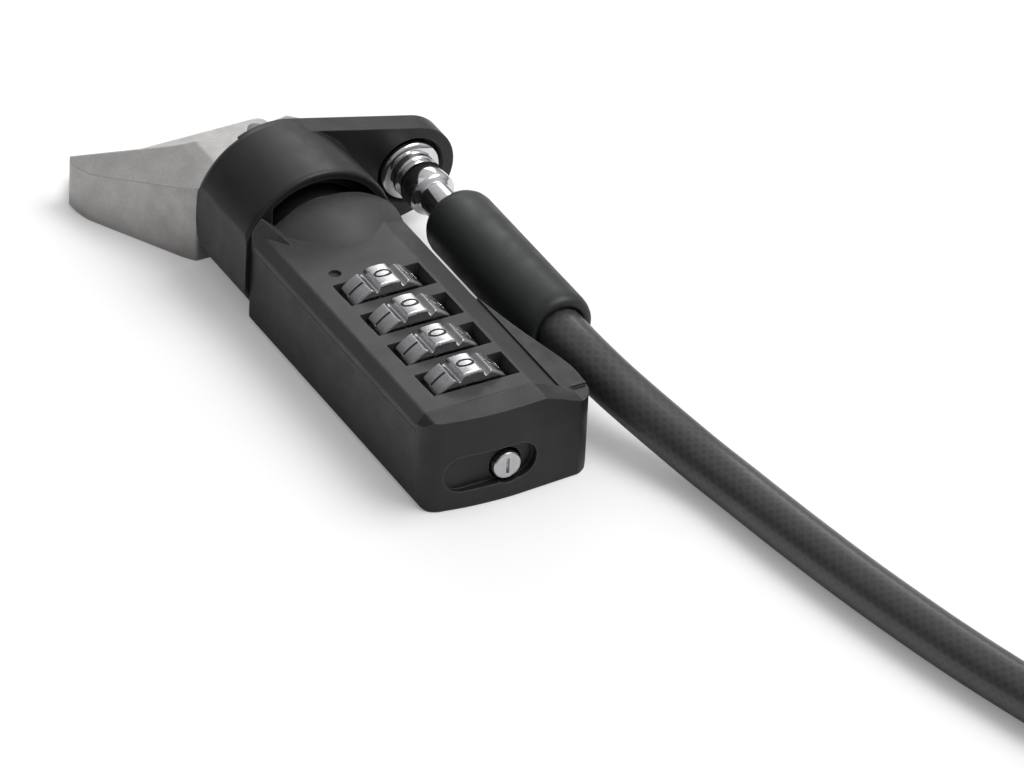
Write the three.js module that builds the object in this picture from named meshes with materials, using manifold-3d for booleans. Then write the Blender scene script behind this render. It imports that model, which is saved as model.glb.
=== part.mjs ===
// Laptop cable lock: a four-dial combination barrel with a swivelling collar,
// a turning T-bar, a crimped steel cable with an anchor loop, and the wedge
// adapter whose slot the T-bar holds. Millimetres, +Z up, resting on z = 0.
// +X runs along the barrel from the slot end to the button end; the cable is
// on the +Y side. The origin is in the case's flat underside, ORIGIN_X behind
// the slot end. Dimensions are counted from the slot end, and the whole group
// is moved at the end.
import * as THREE from 'three';
import { mergeVertices } from 'three/addons/utils/BufferGeometryUtils.js';
import Module from 'manifold-3d';

const wasm = await Module();
wasm.setup();

// ---- driving dimensions ------------------------------------------------
const ORIGIN_X = 29.0;       // slot end to origin
const AXIS_Z = 6.6;          // height of the barrel axis and of the cable end
const GAP = 0.3;             // clearance between neighbours

const PLAIN_Y = -7.3;        // wall away from the cable
const CABLE_SIDE_Y = 8.3;    // wall beside the cable
const FLARE_Y = 11.0;        // the same wall at the flared nose
const BODY_X0 = 10.9;        // shoulder behind the collar
const NOSE_X = 47.3;         // button end
const SEAM_Z = 8.4;          // case rim
const COVER_Z0 = SEAM_Z + GAP;
const TOP_Z = 10.2;          // flat top of the cover
const COVER_X1 = 44.3;       // end of the cover
const COVER_SCREWS = [[15.2, 5.6], [15.2, -5.2]];   // x, y
const COVER_SCREW_HOLE_R = 0.95;

const COLLAR_R = 8.4;
const COLLAR_X0 = 0.3;
const COLLAR_X1 = 10.6;
const COLLAR_FLAT_Y = -7.8;  // flat side of the collar
const ARM_Y = 14.4;          // centre of the arm's eye, level with the axis
const ARM_R = 4.8;           // round end of the arm
const ARM_T = 2.5;           // arm plate thickness
const EYE_R = 3.5;           // eye on the +X side
const EYE_THROUGH_R = 2.3;   // eye right through the arm
const SPIGOT_R = 4.6;
const BOSS_R = 5.7;
const BOSS_BORE_R = 6.2;

const PLUG_R = 6.0;
const PLUG_SCREW_Z = [-1, 1].map((side) => AXIS_Z + side * 3.75);
const PLUG_SCREW_HOLE_R = 0.65;
const PEG_Y = [-1.95, 1.95];

const DIAL_PITCH = 5.5;
const DIAL_X = [0, 1, 2, 3].map((i) => 23.9 + i * DIAL_PITCH);
const DIAL_R = 5.0;
const DIAL_W = 3.4;
const DIAL_BORE_R = 3.7;
const SLEEVE_R = 3.4;
const SLEEVE_BORE_R = 1.8;
const SLEEVE_W = 3.4;
const GATE_R = 2.9;          // depth of the fin gates in a sleeve
const GATE_HALF_W = 0.8;

const CORE_R = 2.9;          // bore for the fins and the return spring
const CORE_X0 = 12.4;
const SPINDLE_R = 1.5;
const SPINDLE_X1 = 44.1;
const FIN_R = 2.6;
const FIN_T = 0.8;
const FIN_OFFSET = 2.75;     // fin ahead of its sleeve's centre at rest
const TRAVEL = 2.0;          // stroke of the push button
const BUTTON_R = 1.5;
const BUTTON_Y = 1.4;        // the button sits beside and below the spindle
const BUTTON_Z = 3.4;

const TBAR_R = 2.6;          // tube with the cam slots
const TBAR_NECK_R = 1.0;
const TBAR_HEAD = { x: -4.9, length: 1.3, width: 1.7, height: 4.8 };
const CAM_PIN_X = 8.6;
const CAM_PIN_R = 0.45;

const ADAPTER_SLOT_W = 5.6;  // across
const ADAPTER_SLOT_H = 2.5;
const ADAPTER_H = 9.7;
const ADAPTER_FACE_X = -0.4;
const ADAPTER_WALL = 2.9;
const ADAPTER_TIP = { x: -12.9, y: 13.9 };
const ADAPTER_HALF_W = 7.2;
const CORNER_R = 9.5;        // rounded corner that the adapter's notch fits
const TONGUE_Z = 1.6;        // top of the adapter's tongue
const ADAPTER_SCREW_X = -14.2;
const ADAPTER_SCREW_Y = [-6.5, 6.5];

const CABLE_R = 2.45;
const FERRULE_R = 3.7;
const FERRULE_X0 = 11.8;
const FERRULE_X1 = 33.6;
const FLOOR_Z = CABLE_R + 0.03;   // centre line of cable on the bench
const COIL_R = 54;                // outermost turn, centre line
const COIL_PITCH = 6.5;
const COIL_TURNS = 2.5;
const LOOP_R = 12;                // bend of the anchor loop
const LOOP_NECK_R = 20;           // reverse bends between crimp and loop
const STRANDS = 5.3;              // between the two strands in the crimp
const CRIMP_L = 14;
const CRIMP_Z = FLOOR_Z + 1.1;

const FINISH = {
  lowerCase: { color: 0x1c1d1f, roughness: 0.5, metalness: 0.35 },
  cover: { color: 0x2a2b2d, roughness: 0.42, metalness: 0.35 },
  collar: { color: 0x191a1c, roughness: 0.42, metalness: 0.4 },
  plug: { color: 0x9a9ca0, roughness: 0.3, metalness: 0.9 },
  pin: { color: 0xb8babd, roughness: 0.25, metalness: 1.0 },
  tBar: { color: 0xb4b6b9, roughness: 0.28, metalness: 1.0 },
  spindle: { color: 0xa8aaae, roughness: 0.3, metalness: 1.0 },
  returnSpring: { color: 0xa0a2a6, roughness: 0.3, metalness: 1.0 },
  button: { color: 0xd2d3d5, roughness: 0.25, metalness: 1.0 },
  dial: { color: 0xc9cacc, roughness: 0.3, metalness: 0.9 },
  brass: { color: 0xc2a35a, roughness: 0.35, metalness: 1.0 },
  detentSpring: { color: 0xb0b2b6, roughness: 0.3, metalness: 1.0 },
  coverScrew: { color: 0x55575a, roughness: 0.35, metalness: 1.0 },
  plugScrew: { color: 0x8d8f93, roughness: 0.3, metalness: 1.0 },
  fitting: { color: 0xe2e3e5, roughness: 0.12, metalness: 1.0 },
  ferrule: { color: 0x1e2221, roughness: 0.5, metalness: 0.1 },
  cable: { color: 0x2e3033, roughness: 0.42, metalness: 0.0 },
  crimp: { color: 0xb9bbbe, roughness: 0.35, metalness: 1.0 },
  adapter: { color: 0xc8c5bf, roughness: 0.35, metalness: 0.9 },
  adapterScrew: { color: 0x8f9194, roughness: 0.3, metalness: 1.0 },
};

// ---- solids --------------------------------------------------------------
// closed solid from a geometry: seams welded, collapsed triangles left out
function solid(geometry) {
  for (const name of Object.keys(geometry.attributes)) {
    if (name !== 'position') geometry.deleteAttribute(name);
  }
  const welded = mergeVertices(geometry, 1e-4);
  const index = welded.index.array;
  const triangles = [];
  for (let i = 0; i < index.length; i += 3) {
    const [a, b, c] = index.slice(i, i + 3);
    if (a !== b && b !== c && c !== a) triangles.push(a, b, c);
  }
  return new wasm.Manifold(new wasm.Mesh({
    numProp: 3,
    vertProperties: new Float32Array(welded.attributes.position.array),
    triVerts: new Uint32Array(triangles),
  }));
}

function geometryOf(body) {
  const mesh = body.getMesh();
  const geometry = new THREE.BufferGeometry();
  geometry.setAttribute('position', new THREE.BufferAttribute(mesh.vertProperties, 3));
  geometry.setIndex(new THREE.BufferAttribute(mesh.triVerts, 1));
  const flat = geometry.toNonIndexed();
  flat.computeVertexNormals();
  return flat;
}

// cylinder or cone along X about (y, z); endRadius is at x1
function rodX(radius, x0, x1, sides = 32, y = 0, z = AXIS_Z, endRadius = radius) {
  const geometry = new THREE.CylinderGeometry(endRadius, radius, x1 - x0, sides);
  geometry.rotateZ(-Math.PI / 2);
  return solid(geometry.translate((x0 + x1) / 2, y, z));
}

// cylinder or cone along Z about (x, y); topRadius is at z1
function rodZ(radius, z0, z1, x, y, sides, topRadius = radius) {
  const geometry = new THREE.CylinderGeometry(topRadius, radius, z1 - z0, sides);
  geometry.rotateX(Math.PI / 2);
  return solid(geometry.translate(x, y, (z0 + z1) / 2));
}

function box(x0, x1, y0, y1, z0, z1) {
  const geometry = new THREE.BoxGeometry(x1 - x0, y1 - y0, z1 - z0);
  return solid(geometry.translate((x0 + x1) / 2, (y0 + y1) / 2, (z0 + z1) / 2));
}

function extrusion(outline, depth) {
  const shape = new THREE.Shape(outline.map(([u, v]) => new THREE.Vector2(u, v)));
  return new THREE.ExtrudeGeometry(shape, { depth, bevelEnabled: false });
}

// outline [x, y] raised from z0 to z1
const slab = (outline, z0, z1) => solid(extrusion(outline, z1 - z0).translate(0, 0, z0));

// outline [y, z] run from x0 to x1
function bar(outline, x0, x1) {
  const alongX = new THREE.Matrix4().set(
    0, 0, 1, x0,
    1, 0, 0, 0,
    0, 1, 0, 0,
    0, 0, 0, 1,
  );
  return solid(extrusion(outline, x1 - x0).applyMatrix4(alongX));
}

// profile [x, radius] turned about the line along X through (y, z)
function turned(profile, sides = 32, y = 0, z = AXIS_Z) {
  const points = profile.map(([x, radius]) => new THREE.Vector2(radius, x));
  const geometry = new THREE.LatheGeometry(points, sides);
  geometry.rotateZ(-Math.PI / 2);
  return solid(geometry.translate(0, y, z));
}

// wire of round section swept along a curve
function swept(radius, sides, curve, steps) {
  const section = Array.from({ length: sides }, (_, i) => {
    const angle = 2 * Math.PI * i / sides;
    return new THREE.Vector2(radius * Math.cos(angle), radius * Math.sin(angle));
  });
  return solid(new THREE.ExtrudeGeometry(new THREE.Shape(section), {
    steps,
    bevelEnabled: false,
    extrudePath: curve,
  }));
}

// n + 1 points on an arc, angles in degrees
function arc(centreU, centreV, radius, start, end, n) {
  return Array.from({ length: n + 1 }, (_, i) => {
    const angle = (start + (end - start) * i / n) * Math.PI / 180;
    return [centreU + radius * Math.cos(angle), centreV + radius * Math.sin(angle)];
  });
}

// ---- case ------------------------------------------------------------------
function lowerCase() {
  const flareTopY = FLARE_Y - 0.1;
  // [x, y] around the button end, shared by the case and its raised nose
  const noseEnd = [
    [44.6, PLAIN_Y],
    ...arc(44.6, PLAIN_Y + 2.1, 2.1, -80, -15, 4),
    [47.1, -2.6], [NOSE_X, 1.0], [47.15, 4.6],
    ...arc(44.3, FLARE_Y - 2.7, 2.7, 20, 80, 4),
  ];
  const plan = [
    [BODY_X0, PLAIN_Y], ...noseEnd, [43.4, FLARE_Y], [40.5, FLARE_Y - 0.05],
    [34, 9.5], [27, CABLE_SIDE_Y], [BODY_X0, CABLE_SIDE_Y],
  ];
  let body = slab(plan, 0, SEAM_Z);

  // raised nose block, chamfered along its top edges
  const noseX0 = COVER_X1 + GAP;
  const nose = slab([[noseX0, PLAIN_Y], ...noseEnd, [noseX0, flareTopY]], SEAM_Z - 0.5, TOP_Z);
  const noseSection = [
    [-7.5, 7.5], [10.5, 7.5], [10.5, 7.7], [5.2, TOP_Z], [-6.4, TOP_Z], [-7.5, 9.1],
  ];
  body = body.add(nose.intersect(bar(noseSection, 43, 48)));

  // top facet of the flare
  const flareInnerY = CABLE_SIDE_Y - 0.4;
  const flare = slab([
    [27, flareInnerY], [34, 9.4], [40.5, flareTopY], [COVER_X1, flareTopY],
    [COVER_X1, flareInnerY],
  ], SEAM_Z - 0.5, SEAM_Z + 0.25);
  body = body.add(flare.intersect(box(26, COVER_X1, CABLE_SIDE_Y + GAP, 11, 7, 9.5)));

  // edges stay inside the circle that the cable end sweeps
  const sweep = [[0, 0], [0, 10.2], [34.6, 10.2], [44, 12.0], [50, 12.6], [50, 0]];
  body = body.intersect(turned(sweep, 64));

  // chamfer under the -Y lower edge
  const chamfer = 0.7;
  body = body.subtract(bar([
    [PLAIN_Y - 1, -1], [PLAIN_Y + chamfer, -1], [PLAIN_Y + chamfer, 0],
    [PLAIN_Y, chamfer], [PLAIN_Y - 1, chamfer],
  ], 0, 60));

  // boss and spigot for the collar, bored for the T-bar and the spindle
  body = body.add(rodX(BOSS_R, 6.8, 11.5, 36))
    .add(rodX(SPIGOT_R, 1.8, 7.5))
    .subtract(rodX(TBAR_R + GAP, 1, 10.9, 28));
  for (const z of PLUG_SCREW_Z) {
    body = body.subtract(rodX(PLUG_SCREW_HOLE_R, 1, 4.4, 14, 0, z));
  }
  body = body.subtract(rodX(SPINDLE_R + GAP, 10, 13, 20))
    .subtract(rodX(CORE_R, CORE_X0, 44.2));

  // pocket for the button carrier, and the button's hole
  body = body.subtract(box(42, 45.4, -2.0, 3.4, 1.4, 8.55))
    .subtract(rodX(BUTTON_R + GAP, 44, 49, 24, BUTTON_Y, BUTTON_Z));

  // dial wells, and the trench for the detent spring
  const wellHalfW = 1.98;
  const trenchY1 = 6.9;
  for (const x of DIAL_X) {
    const wellZ = AXIS_Z - DIAL_R - 0.25;
    body = body.subtract(box(x - wellHalfW, x + wellHalfW, -5.7, trenchY1, wellZ, 12));
  }
  body = body.subtract(box(21.4, 43.0, 6.0, trenchY1, 2.0, 12));

  // clear the space above the seam for the cover
  body = body.subtract(
    box(BODY_X0 - 0.1, COVER_X1, PLAIN_Y - 1, CABLE_SIDE_Y + 0.05, SEAM_Z, 16));

  // pill-shaped recess around the button
  const pill = [...arc(2.4, 3.9, 2.0, -90, 90, 6), ...arc(-3.4, 3.9, 2.0, 90, 270, 6)];
  body = body.subtract(bar(pill, 46.3, 49));

  // counterbored screw holes from below
  for (const [x, y] of COVER_SCREWS) {
    body = body.subtract(rodZ(COVER_SCREW_HOLE_R, -1, 9, x, y, 16))
      .subtract(rodZ(1.75, -1, 1.5, x, y, 18));
  }
  return body;
}

function topCover() {
  let body = bar([
    [PLAIN_Y, COVER_Z0], [CABLE_SIDE_Y, COVER_Z0], [5.2, TOP_Z], [-6.4, TOP_Z], [PLAIN_Y, 9.2],
  ], BODY_X0, COVER_X1);

  // dome that runs out into the flat top
  const dome = turned([
    [BODY_X0, 0], [BODY_X0, 9.7], [12.5, 9.45], [14.5, 8.8], [16.5, 8.05], [18.2, 7.4], [18.2, 0],
  ], 56, 1.0, 2.6);
  body = body.add(dome.intersect(box(10, 19, -6.4, CABLE_SIDE_Y, COVER_Z0, 14)));

  // shoulder that carries the collar's round on the -Y side
  const shoulderSection = [
    [PLAIN_Y, COVER_Z0], [-4.7, COVER_Z0], [-4.7, 10.3], [-6.2, 11.7], [PLAIN_Y, 12.4],
  ];
  const shoulder = rodX(8.1, BODY_X0, 15.0, 48, 0, AXIS_Z, 5.6);
  body = body.add(shoulder.intersect(bar(shoulderSection, 10, 16)));

  // dial windows
  const windowSection = [
    [-4.8, 8], [4.85, 8], [4.85, SEAM_Z + 0.6], [5.0, 11], [-4.3, 11], [-4.4, TOP_Z],
    [-4.8, SEAM_Z + 0.8],
  ];
  const windowHalfW = 1.95;
  for (const x of DIAL_X) {
    body = body.subtract(bar(windowSection, x - windowHalfW, x + windowHalfW));
  }
  body = body.subtract(rodX(CORE_R, CORE_X0, COVER_X1 + 1));
  for (const [x, y] of COVER_SCREWS) {
    body = body.subtract(rodZ(COVER_SCREW_HOLE_R, 8, 9.3, x, y, 16));
  }
  // index dimple beside the first dial
  return body.subtract(rodZ(0.6, 9.8, 11, 20.3, -3.2, 12));
}

function coverScrew([x, y]) {
  const crossHalfL = 1.0;
  const crossHalfW = 0.2;
  return rodZ(0.65, 0.9, 9.0, x, y, 14)
    .add(rodZ(1.45, 0.15, 1.2, x, y, 18))
    .subtract(box(x - crossHalfL, x + crossHalfL, y - crossHalfW, y + crossHalfW, -1, 0.6))
    .subtract(box(x - crossHalfW, x + crossHalfW, y - crossHalfL, y + crossHalfL, -1, 0.6));
}

// ---- collar with arm ---------------------------------------------------------
function swivelCollar() {
  const drum = turned([
    [COLLAR_X0, 0], [COLLAR_X0, COLLAR_R - 1.0], [COLLAR_X0 + 0.3, COLLAR_R - 0.35],
    [COLLAR_X0 + 1.0, COLLAR_R], [COLLAR_X1 - 0.35, COLLAR_R],
    [COLLAR_X1, COLLAR_R - 0.35], [COLLAR_X1, 0],
  ], 48).intersect(box(-1, 12, COLLAR_FLAT_Y, 12, 0, 20));

  // arm: a teardrop plate tangent to the drum
  const tangent = Math.acos((COLLAR_R - ARM_R) / ARM_Y) * 180 / Math.PI;
  const rootR = COLLAR_R - 0.05;
  const armX0 = COLLAR_X0 + 0.3;
  const arm = bar([
    ...arc(ARM_Y, AXIS_Z, ARM_R, -tangent, tangent, 16),
    ...arc(0, AXIS_Z, rootR, tangent, tangent + 40, 4),
    [-2, AXIS_Z],
    ...arc(0, AXIS_Z, rootR, -tangent - 20, -tangent, 3),
  ], armX0, armX0 + ARM_T).intersect(box(-1, 12, -9, 30, 0, 20));

  // crescent relief over the cover's dome
  const relief = rodX(7.55, 9.2, 12, 48).intersect(box(9, 12, -5.0, 12, AXIS_Z + 1.5, 16));
  // stepped bore (plug, spigot, boss), then the stepped eye
  return drum.add(arm)
    .subtract(rodX(PLUG_R + GAP, -1, 1.8, 36))
    .subtract(rodX(SPIGOT_R + GAP, 0, 8))
    .subtract(rodX(BOSS_BORE_R, 6.5, 12, 36))
    .subtract(relief)
    .subtract(rodX(EYE_THROUGH_R, -1, 6, 24, ARM_Y))
    .subtract(rodX(EYE_R, 1.9, 6, 28, ARM_Y))
    .subtract(rodX(3.1, -1, 1.1, 24, ARM_Y));
}

// ---- head plug, pegs, T-bar ----------------------------------------------------
function headPlug() {
  let body = rodX(PLUG_R, 0, 1.5, 36).subtract(rodX(TBAR_NECK_R + GAP, -1, 3, 20));
  for (const y of PEG_Y) body = body.subtract(rodX(1.0, -1, 3, 16, y));
  for (const z of PLUG_SCREW_Z) {
    body = body.subtract(rodX(PLUG_SCREW_HOLE_R, -1, 3, 16, 0, z))
      .subtract(rodX(1.35, -1, 0.6, 16, 0, z));
  }
  return body;
}

const guidePeg = (y) =>
  turned([[-3.3, 0], [-3.3, 0.5], [-3.05, 0.7], [1.4, 0.7], [1.4, 0]], 14, y);

function plugScrew(z) {
  const slotHalfW = 0.15;
  return rodX(0.4, 0.3, 4.0, 14, 0, z)
    .add(rodX(1.05, 0.05, 0.5, 16, 0, z))
    .subtract(box(-1, 0.25, -0.7, 0.7, z - slotHalfW, z + slotHalfW));
}

function tBar() {
  const { x, length, width, height } = TBAR_HEAD;
  let body = box(
    x, x + length, -width / 2, width / 2, AXIS_Z - height / 2, AXIS_Z + height / 2,
  ).intersect(rodX(2.5, -6, 0, 28));
  body = body.add(rodX(TBAR_NECK_R, x + 0.4, 3, 20))
    .add(rodX(TBAR_R, 2.0, 10.5, 28))
    .subtract(rodX(1.55, 3.2, 12, 20));
  // cam slots: a quarter turn over the button's stroke, cut in steps
  const steps = 8;
  const slotR = CAM_PIN_R + 0.3;
  for (let i = 0; i <= steps; i++) {
    const cutter = new THREE.CylinderGeometry(slotR, slotR, 8, 10);
    cutter.rotateX(Math.PI / 2 - i / steps * Math.PI / 2);
    cutter.translate(CAM_PIN_X - TRAVEL * i / steps, 0, AXIS_Z);
    body = body.subtract(solid(cutter));
  }
  return body;
}

// ---- spindle, cam pin, return spring, button -------------------------------------
function spindle() {
  let body = rodX(1.2, 6.6, 12.4, 20)
    .add(rodX(SPINDLE_R, 12.2, SPINDLE_X1, 20))
    .add(rodX(2.55, 18.9, 19.5, 24));
  for (const dialX of DIAL_X) {
    const x = dialX + FIN_OFFSET;
    body = body.add(box(x - FIN_T / 2, x + FIN_T / 2, -0.5, 0.5, AXIS_Z, AXIS_Z + FIN_R));
  }
  return body.subtract(rodZ(CAM_PIN_R + 0.12, 2, 10, CAM_PIN_X, 0, 12));
}

const camPin = () => rodZ(CAM_PIN_R, AXIS_Z - 2.3, AXIS_Z + 2.3, CAM_PIN_X, 0, 12);

// helix about the barrel axis
class Helix extends THREE.Curve {
  constructor({ radius, x0, x1, turns }) {
    super();
    Object.assign(this, { radius, x0, x1, turns });
  }

  getPoint(t, target = new THREE.Vector3()) {
    const angle = 2 * Math.PI * this.turns * t;
    return target.set(
      this.x0 + (this.x1 - this.x0) * t,
      this.radius * Math.cos(angle),
      AXIS_Z + this.radius * Math.sin(angle),
    );
  }
}

const returnSpring = () =>
  swept(0.28, 6, new Helix({ radius: 2.2, x0: 12.95, x1: 18.3, turns: 4.5 }), 64);

// plate between the spindle's end and the button beside it
function buttonCarrier() {
  const x0 = 44.4;
  const x1 = 45.1;
  return rodX(1.55, x0, x1, 24)
    .add(rodX(1.6, x0, x1, 24, BUTTON_Y, BUTTON_Z))
    .add(box(x0, x1, -0.7, 2.1, BUTTON_Z - 0.3, AXIS_Z + 0.3));
}

// button with a slot across its face
function pushButton() {
  const x0 = 45.3;
  const x1 = 47.0;
  const chamfer = 0.25;
  const profile = [
    [x0, 0], [x0, BUTTON_R], [x1 - chamfer, BUTTON_R], [x1, BUTTON_R - chamfer], [x1, 0],
  ];
  return turned(profile, 28, BUTTON_Y, BUTTON_Z).subtract(
    box(46.6, 48, BUTTON_Y - 0.2, BUTTON_Y + 0.2, BUTTON_Z - 0.9, BUTTON_Z + 0.9));
}

// ---- dials, sleeves, detent spring ---------------------------------------------------
const DIAL_DIGITS = 10;
// one tenth of a dial's rim: degrees from the groove's centre, depth below DIAL_R
const DIAL_RIM = [
  [-27, 0], [-18, 0], [-9, 0], [-4.2, 0.15], [-1.8, 0.6], [1.8, 0.6], [4.2, 0.15],
];

function dial(x) {
  const step = 360 / DIAL_DIGITS;
  const outline = [];
  for (let i = 0; i < DIAL_DIGITS; i++) {
    for (const [offset, depth] of DIAL_RIM) {
      const angle = ((i + 0.5) * step + offset + 90) * Math.PI / 180;
      const radius = DIAL_R - depth;
      outline.push([radius * Math.cos(angle), AXIS_Z + radius * Math.sin(angle)]);
    }
  }
  const x0 = x - DIAL_W / 2;
  const x1 = x + DIAL_W / 2;
  const chamfer = 0.35;
  const envelope = turned([
    [x0, 0], [x0, DIAL_R - chamfer], [x0 + chamfer, DIAL_R + 0.05],
    [x1 - chamfer, DIAL_R + 0.05], [x1, DIAL_R - chamfer], [x1, 0],
  ], 40);
  return bar(outline, x0, x1)
    .subtract(rodX(DIAL_BORE_R, x - 4, x + 4))
    .intersect(envelope);
}

// sleeve with two fin gates, towards +Z and +Y
function clutchSleeve(x) {
  const x0 = x - 4;
  const x1 = x + 4;
  return rodX(SLEEVE_R, x - SLEEVE_W / 2, x + SLEEVE_W / 2, 28)
    .subtract(rodX(SLEEVE_BORE_R, x0, x1, 20))
    .subtract(box(x0, x1, -GATE_HALF_W, GATE_HALF_W, AXIS_Z, AXIS_Z + GATE_R))
    .subtract(box(x0, x1, 0, GATE_R, AXIS_Z - GATE_HALF_W, AXIS_Z + GATE_HALF_W));
}

// leaf slit between the dials, with a nib for each dial
function detentSpring() {
  let body = box(21.7, 42.7, 6.25, 6.6, 2.5, 8.2);
  for (const dialX of DIAL_X.slice(0, -1)) {
    const x = dialX + DIAL_PITCH / 2;
    body = body.subtract(box(x - 0.6, x + 0.6, 6, 7, 3.8, 9));
  }
  for (const x of DIAL_X) body = body.add(rodX(0.6, x - 1.2, x + 1.2, 12, 6.28));
  return body;
}

// ---- cable -----------------------------------------------------------------------------
const cableFitting = () => turned([
  [0.62, 0], [0.62, 2.3], [0.75, 2.6], [0.85, 2.6], [0.85, 2.0], [2.15, 2.0], [2.15, 3.15],
  [2.9, 3.2], [3.4, 3.05], [3.6, 2.4], [8.0, 2.4], [8.5, 1.9], [11.4, 1.9], [11.4, 0],
], 28, ARM_Y);

const cableFerrule = () => turned([
  [FERRULE_X0, 0], [FERRULE_X0, 2.5], [FERRULE_X0 + 0.5, 3.3], [FERRULE_X0 + 1.4, FERRULE_R],
  [FERRULE_X1 - 1.6, FERRULE_R], [FERRULE_X1 - 0.5, FERRULE_R - 0.3],
  [FERRULE_X1, FERRULE_R - 0.8], [FERRULE_X1, 0],
], 28, ARM_Y).subtract(rodX(CABLE_R + GAP, 18, 40, 24, ARM_Y));

// x, y, z of the centre line out of the ferrule and down to the bench
const CABLE_LEAD = [
  [19.4, ARM_Y, AXIS_Z], [22, ARM_Y, AXIS_Z], [26, ARM_Y, AXIS_Z], [30, ARM_Y, AXIS_Z],
  [34, 14.42, 6.55], [38, 14.7, 6.25], [42, 15.5, 5.5], [46, 16.7, 4.5],
  [50, 18.0, 3.5], [54, 19.1, 2.8], [58, 19.95, 2.52], [62, 20.55, FLOOR_Z],
  [68, 21.45, FLOOR_Z], [76, 22.8, FLOOR_Z], [83, 24.2, FLOOR_Z], [88, 25.3, FLOOR_Z],
  [93, 26.55, FLOOR_Z], [99.3, 28.3, FLOOR_Z],
];
const LEAD_HEADING = 16.0;   // degrees from +X at the end of the lead

// whole centre line, and where the crimp starts on it
function cableRoute() {
  const points = CABLE_LEAD.map((point) => new THREE.Vector3(...point));
  const pen = { ...points.at(-1), heading: LEAD_HEADING * Math.PI / 180 };

  // runs the pen on while its curvature goes from k0 to k1, ending at height z1
  function run(length, k0, k1 = k0, z1 = pen.z) {
    const z0 = pen.z;
    const count = Math.max(1, Math.round(length / 4));
    const substeps = 8;
    const step = length / (count * substeps);
    for (let i = 0; i < count; i++) {
      for (let j = 0; j < substeps; j++) {
        const t = (i * substeps + j + 0.5) / (count * substeps);
        const turn = (k0 + (k1 - k0) * t) * step;
        pen.heading += turn / 2;
        pen.x += Math.cos(pen.heading) * step;
        pen.y += Math.sin(pen.heading) * step;
        pen.heading += turn / 2;
      }
      points.push(new THREE.Vector3(pen.x, pen.y, z0 + (z1 - z0) * (i + 1) / count));
    }
    pen.z = z1;
  }
  // circular bend; a negative radius turns clockwise seen from above
  function bend(radius, angle, z1) {
    run(Math.abs(radius) * angle, 1 / radius, 1 / radius, z1);
  }

  // one long bend, then a flat coil wound inwards
  run(76, 0.0055, 1 / COIL_R);
  for (let degrees = 0; degrees < COIL_TURNS * 360; degrees += 10) {
    bend(COIL_R - COIL_PITCH * (degrees + 5) / 360, Math.PI / 18);
  }
  // turn in to the crimp
  run(36, 1 / 17, 1 / 17, CRIMP_Z);
  run(5, 0);
  const crimp = { x: pen.x, y: pen.y, heading: pen.heading };
  run(CRIMP_L, 0);
  // anchor loop and back through the crimp
  const neck = Math.acos((LOOP_NECK_R + STRANDS / 2) / (LOOP_NECK_R + LOOP_R));
  const loopHighZ = FLOOR_Z + 0.7;
  bend(-LOOP_NECK_R, neck, loopHighZ);
  bend(LOOP_R, Math.PI / 2 + neck, FLOOR_Z);
  bend(LOOP_R, Math.PI / 2 + neck, loopHighZ);
  bend(-LOOP_NECK_R, neck, CRIMP_Z);
  run(CRIMP_L - 1.5, 0);
  return { points, crimp };
}

function cable(points) {
  const curve = new THREE.CatmullRomCurve3(points, false, 'centripetal');
  curve.arcLengthDivisions = 4000;
  return swept(CABLE_R, 8, curve, Math.round(curve.getLength() / 6.6));
}

// a flattened, grooved tube over both strands
function crimpSleeve({ x, y, heading }) {
  const wall = 0.75;
  const boreR = CABLE_R + 0.3;
  const tube = (grow, z0, z1) => slab([
    ...arc(0, STRANDS / 2, boreR + grow, 0, 180, 8),
    ...arc(0, -STRANDS / 2, boreR + grow, 180, 360, 8),
  ], z0, z1);
  let sleeve = tube(wall, 1.0, CRIMP_L - 1.0).subtract(tube(0, -5, CRIMP_L + 5));
  for (const z of [4.2, 7.4, 10.6]) {
    const groove = tube(wall + 2, z - 0.6, z + 0.6).subtract(tube(wall - 0.35, z - 2, z + 2));
    sleeve = sleeve.subtract(groove);
  }
  // local z becomes the cable direction, local y lies flat
  const cos = Math.cos(heading);
  const sin = Math.sin(heading);
  const alongCable = new THREE.Matrix4().set(
    0, sin, cos, x - sin * STRANDS / 2,
    0, -cos, sin, y + cos * STRANDS / 2,
    1, 0, 0, CRIMP_Z,
    0, 0, 0, 1,
  );
  return solid(geometryOf(sleeve).applyMatrix4(alongCable));
}

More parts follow.
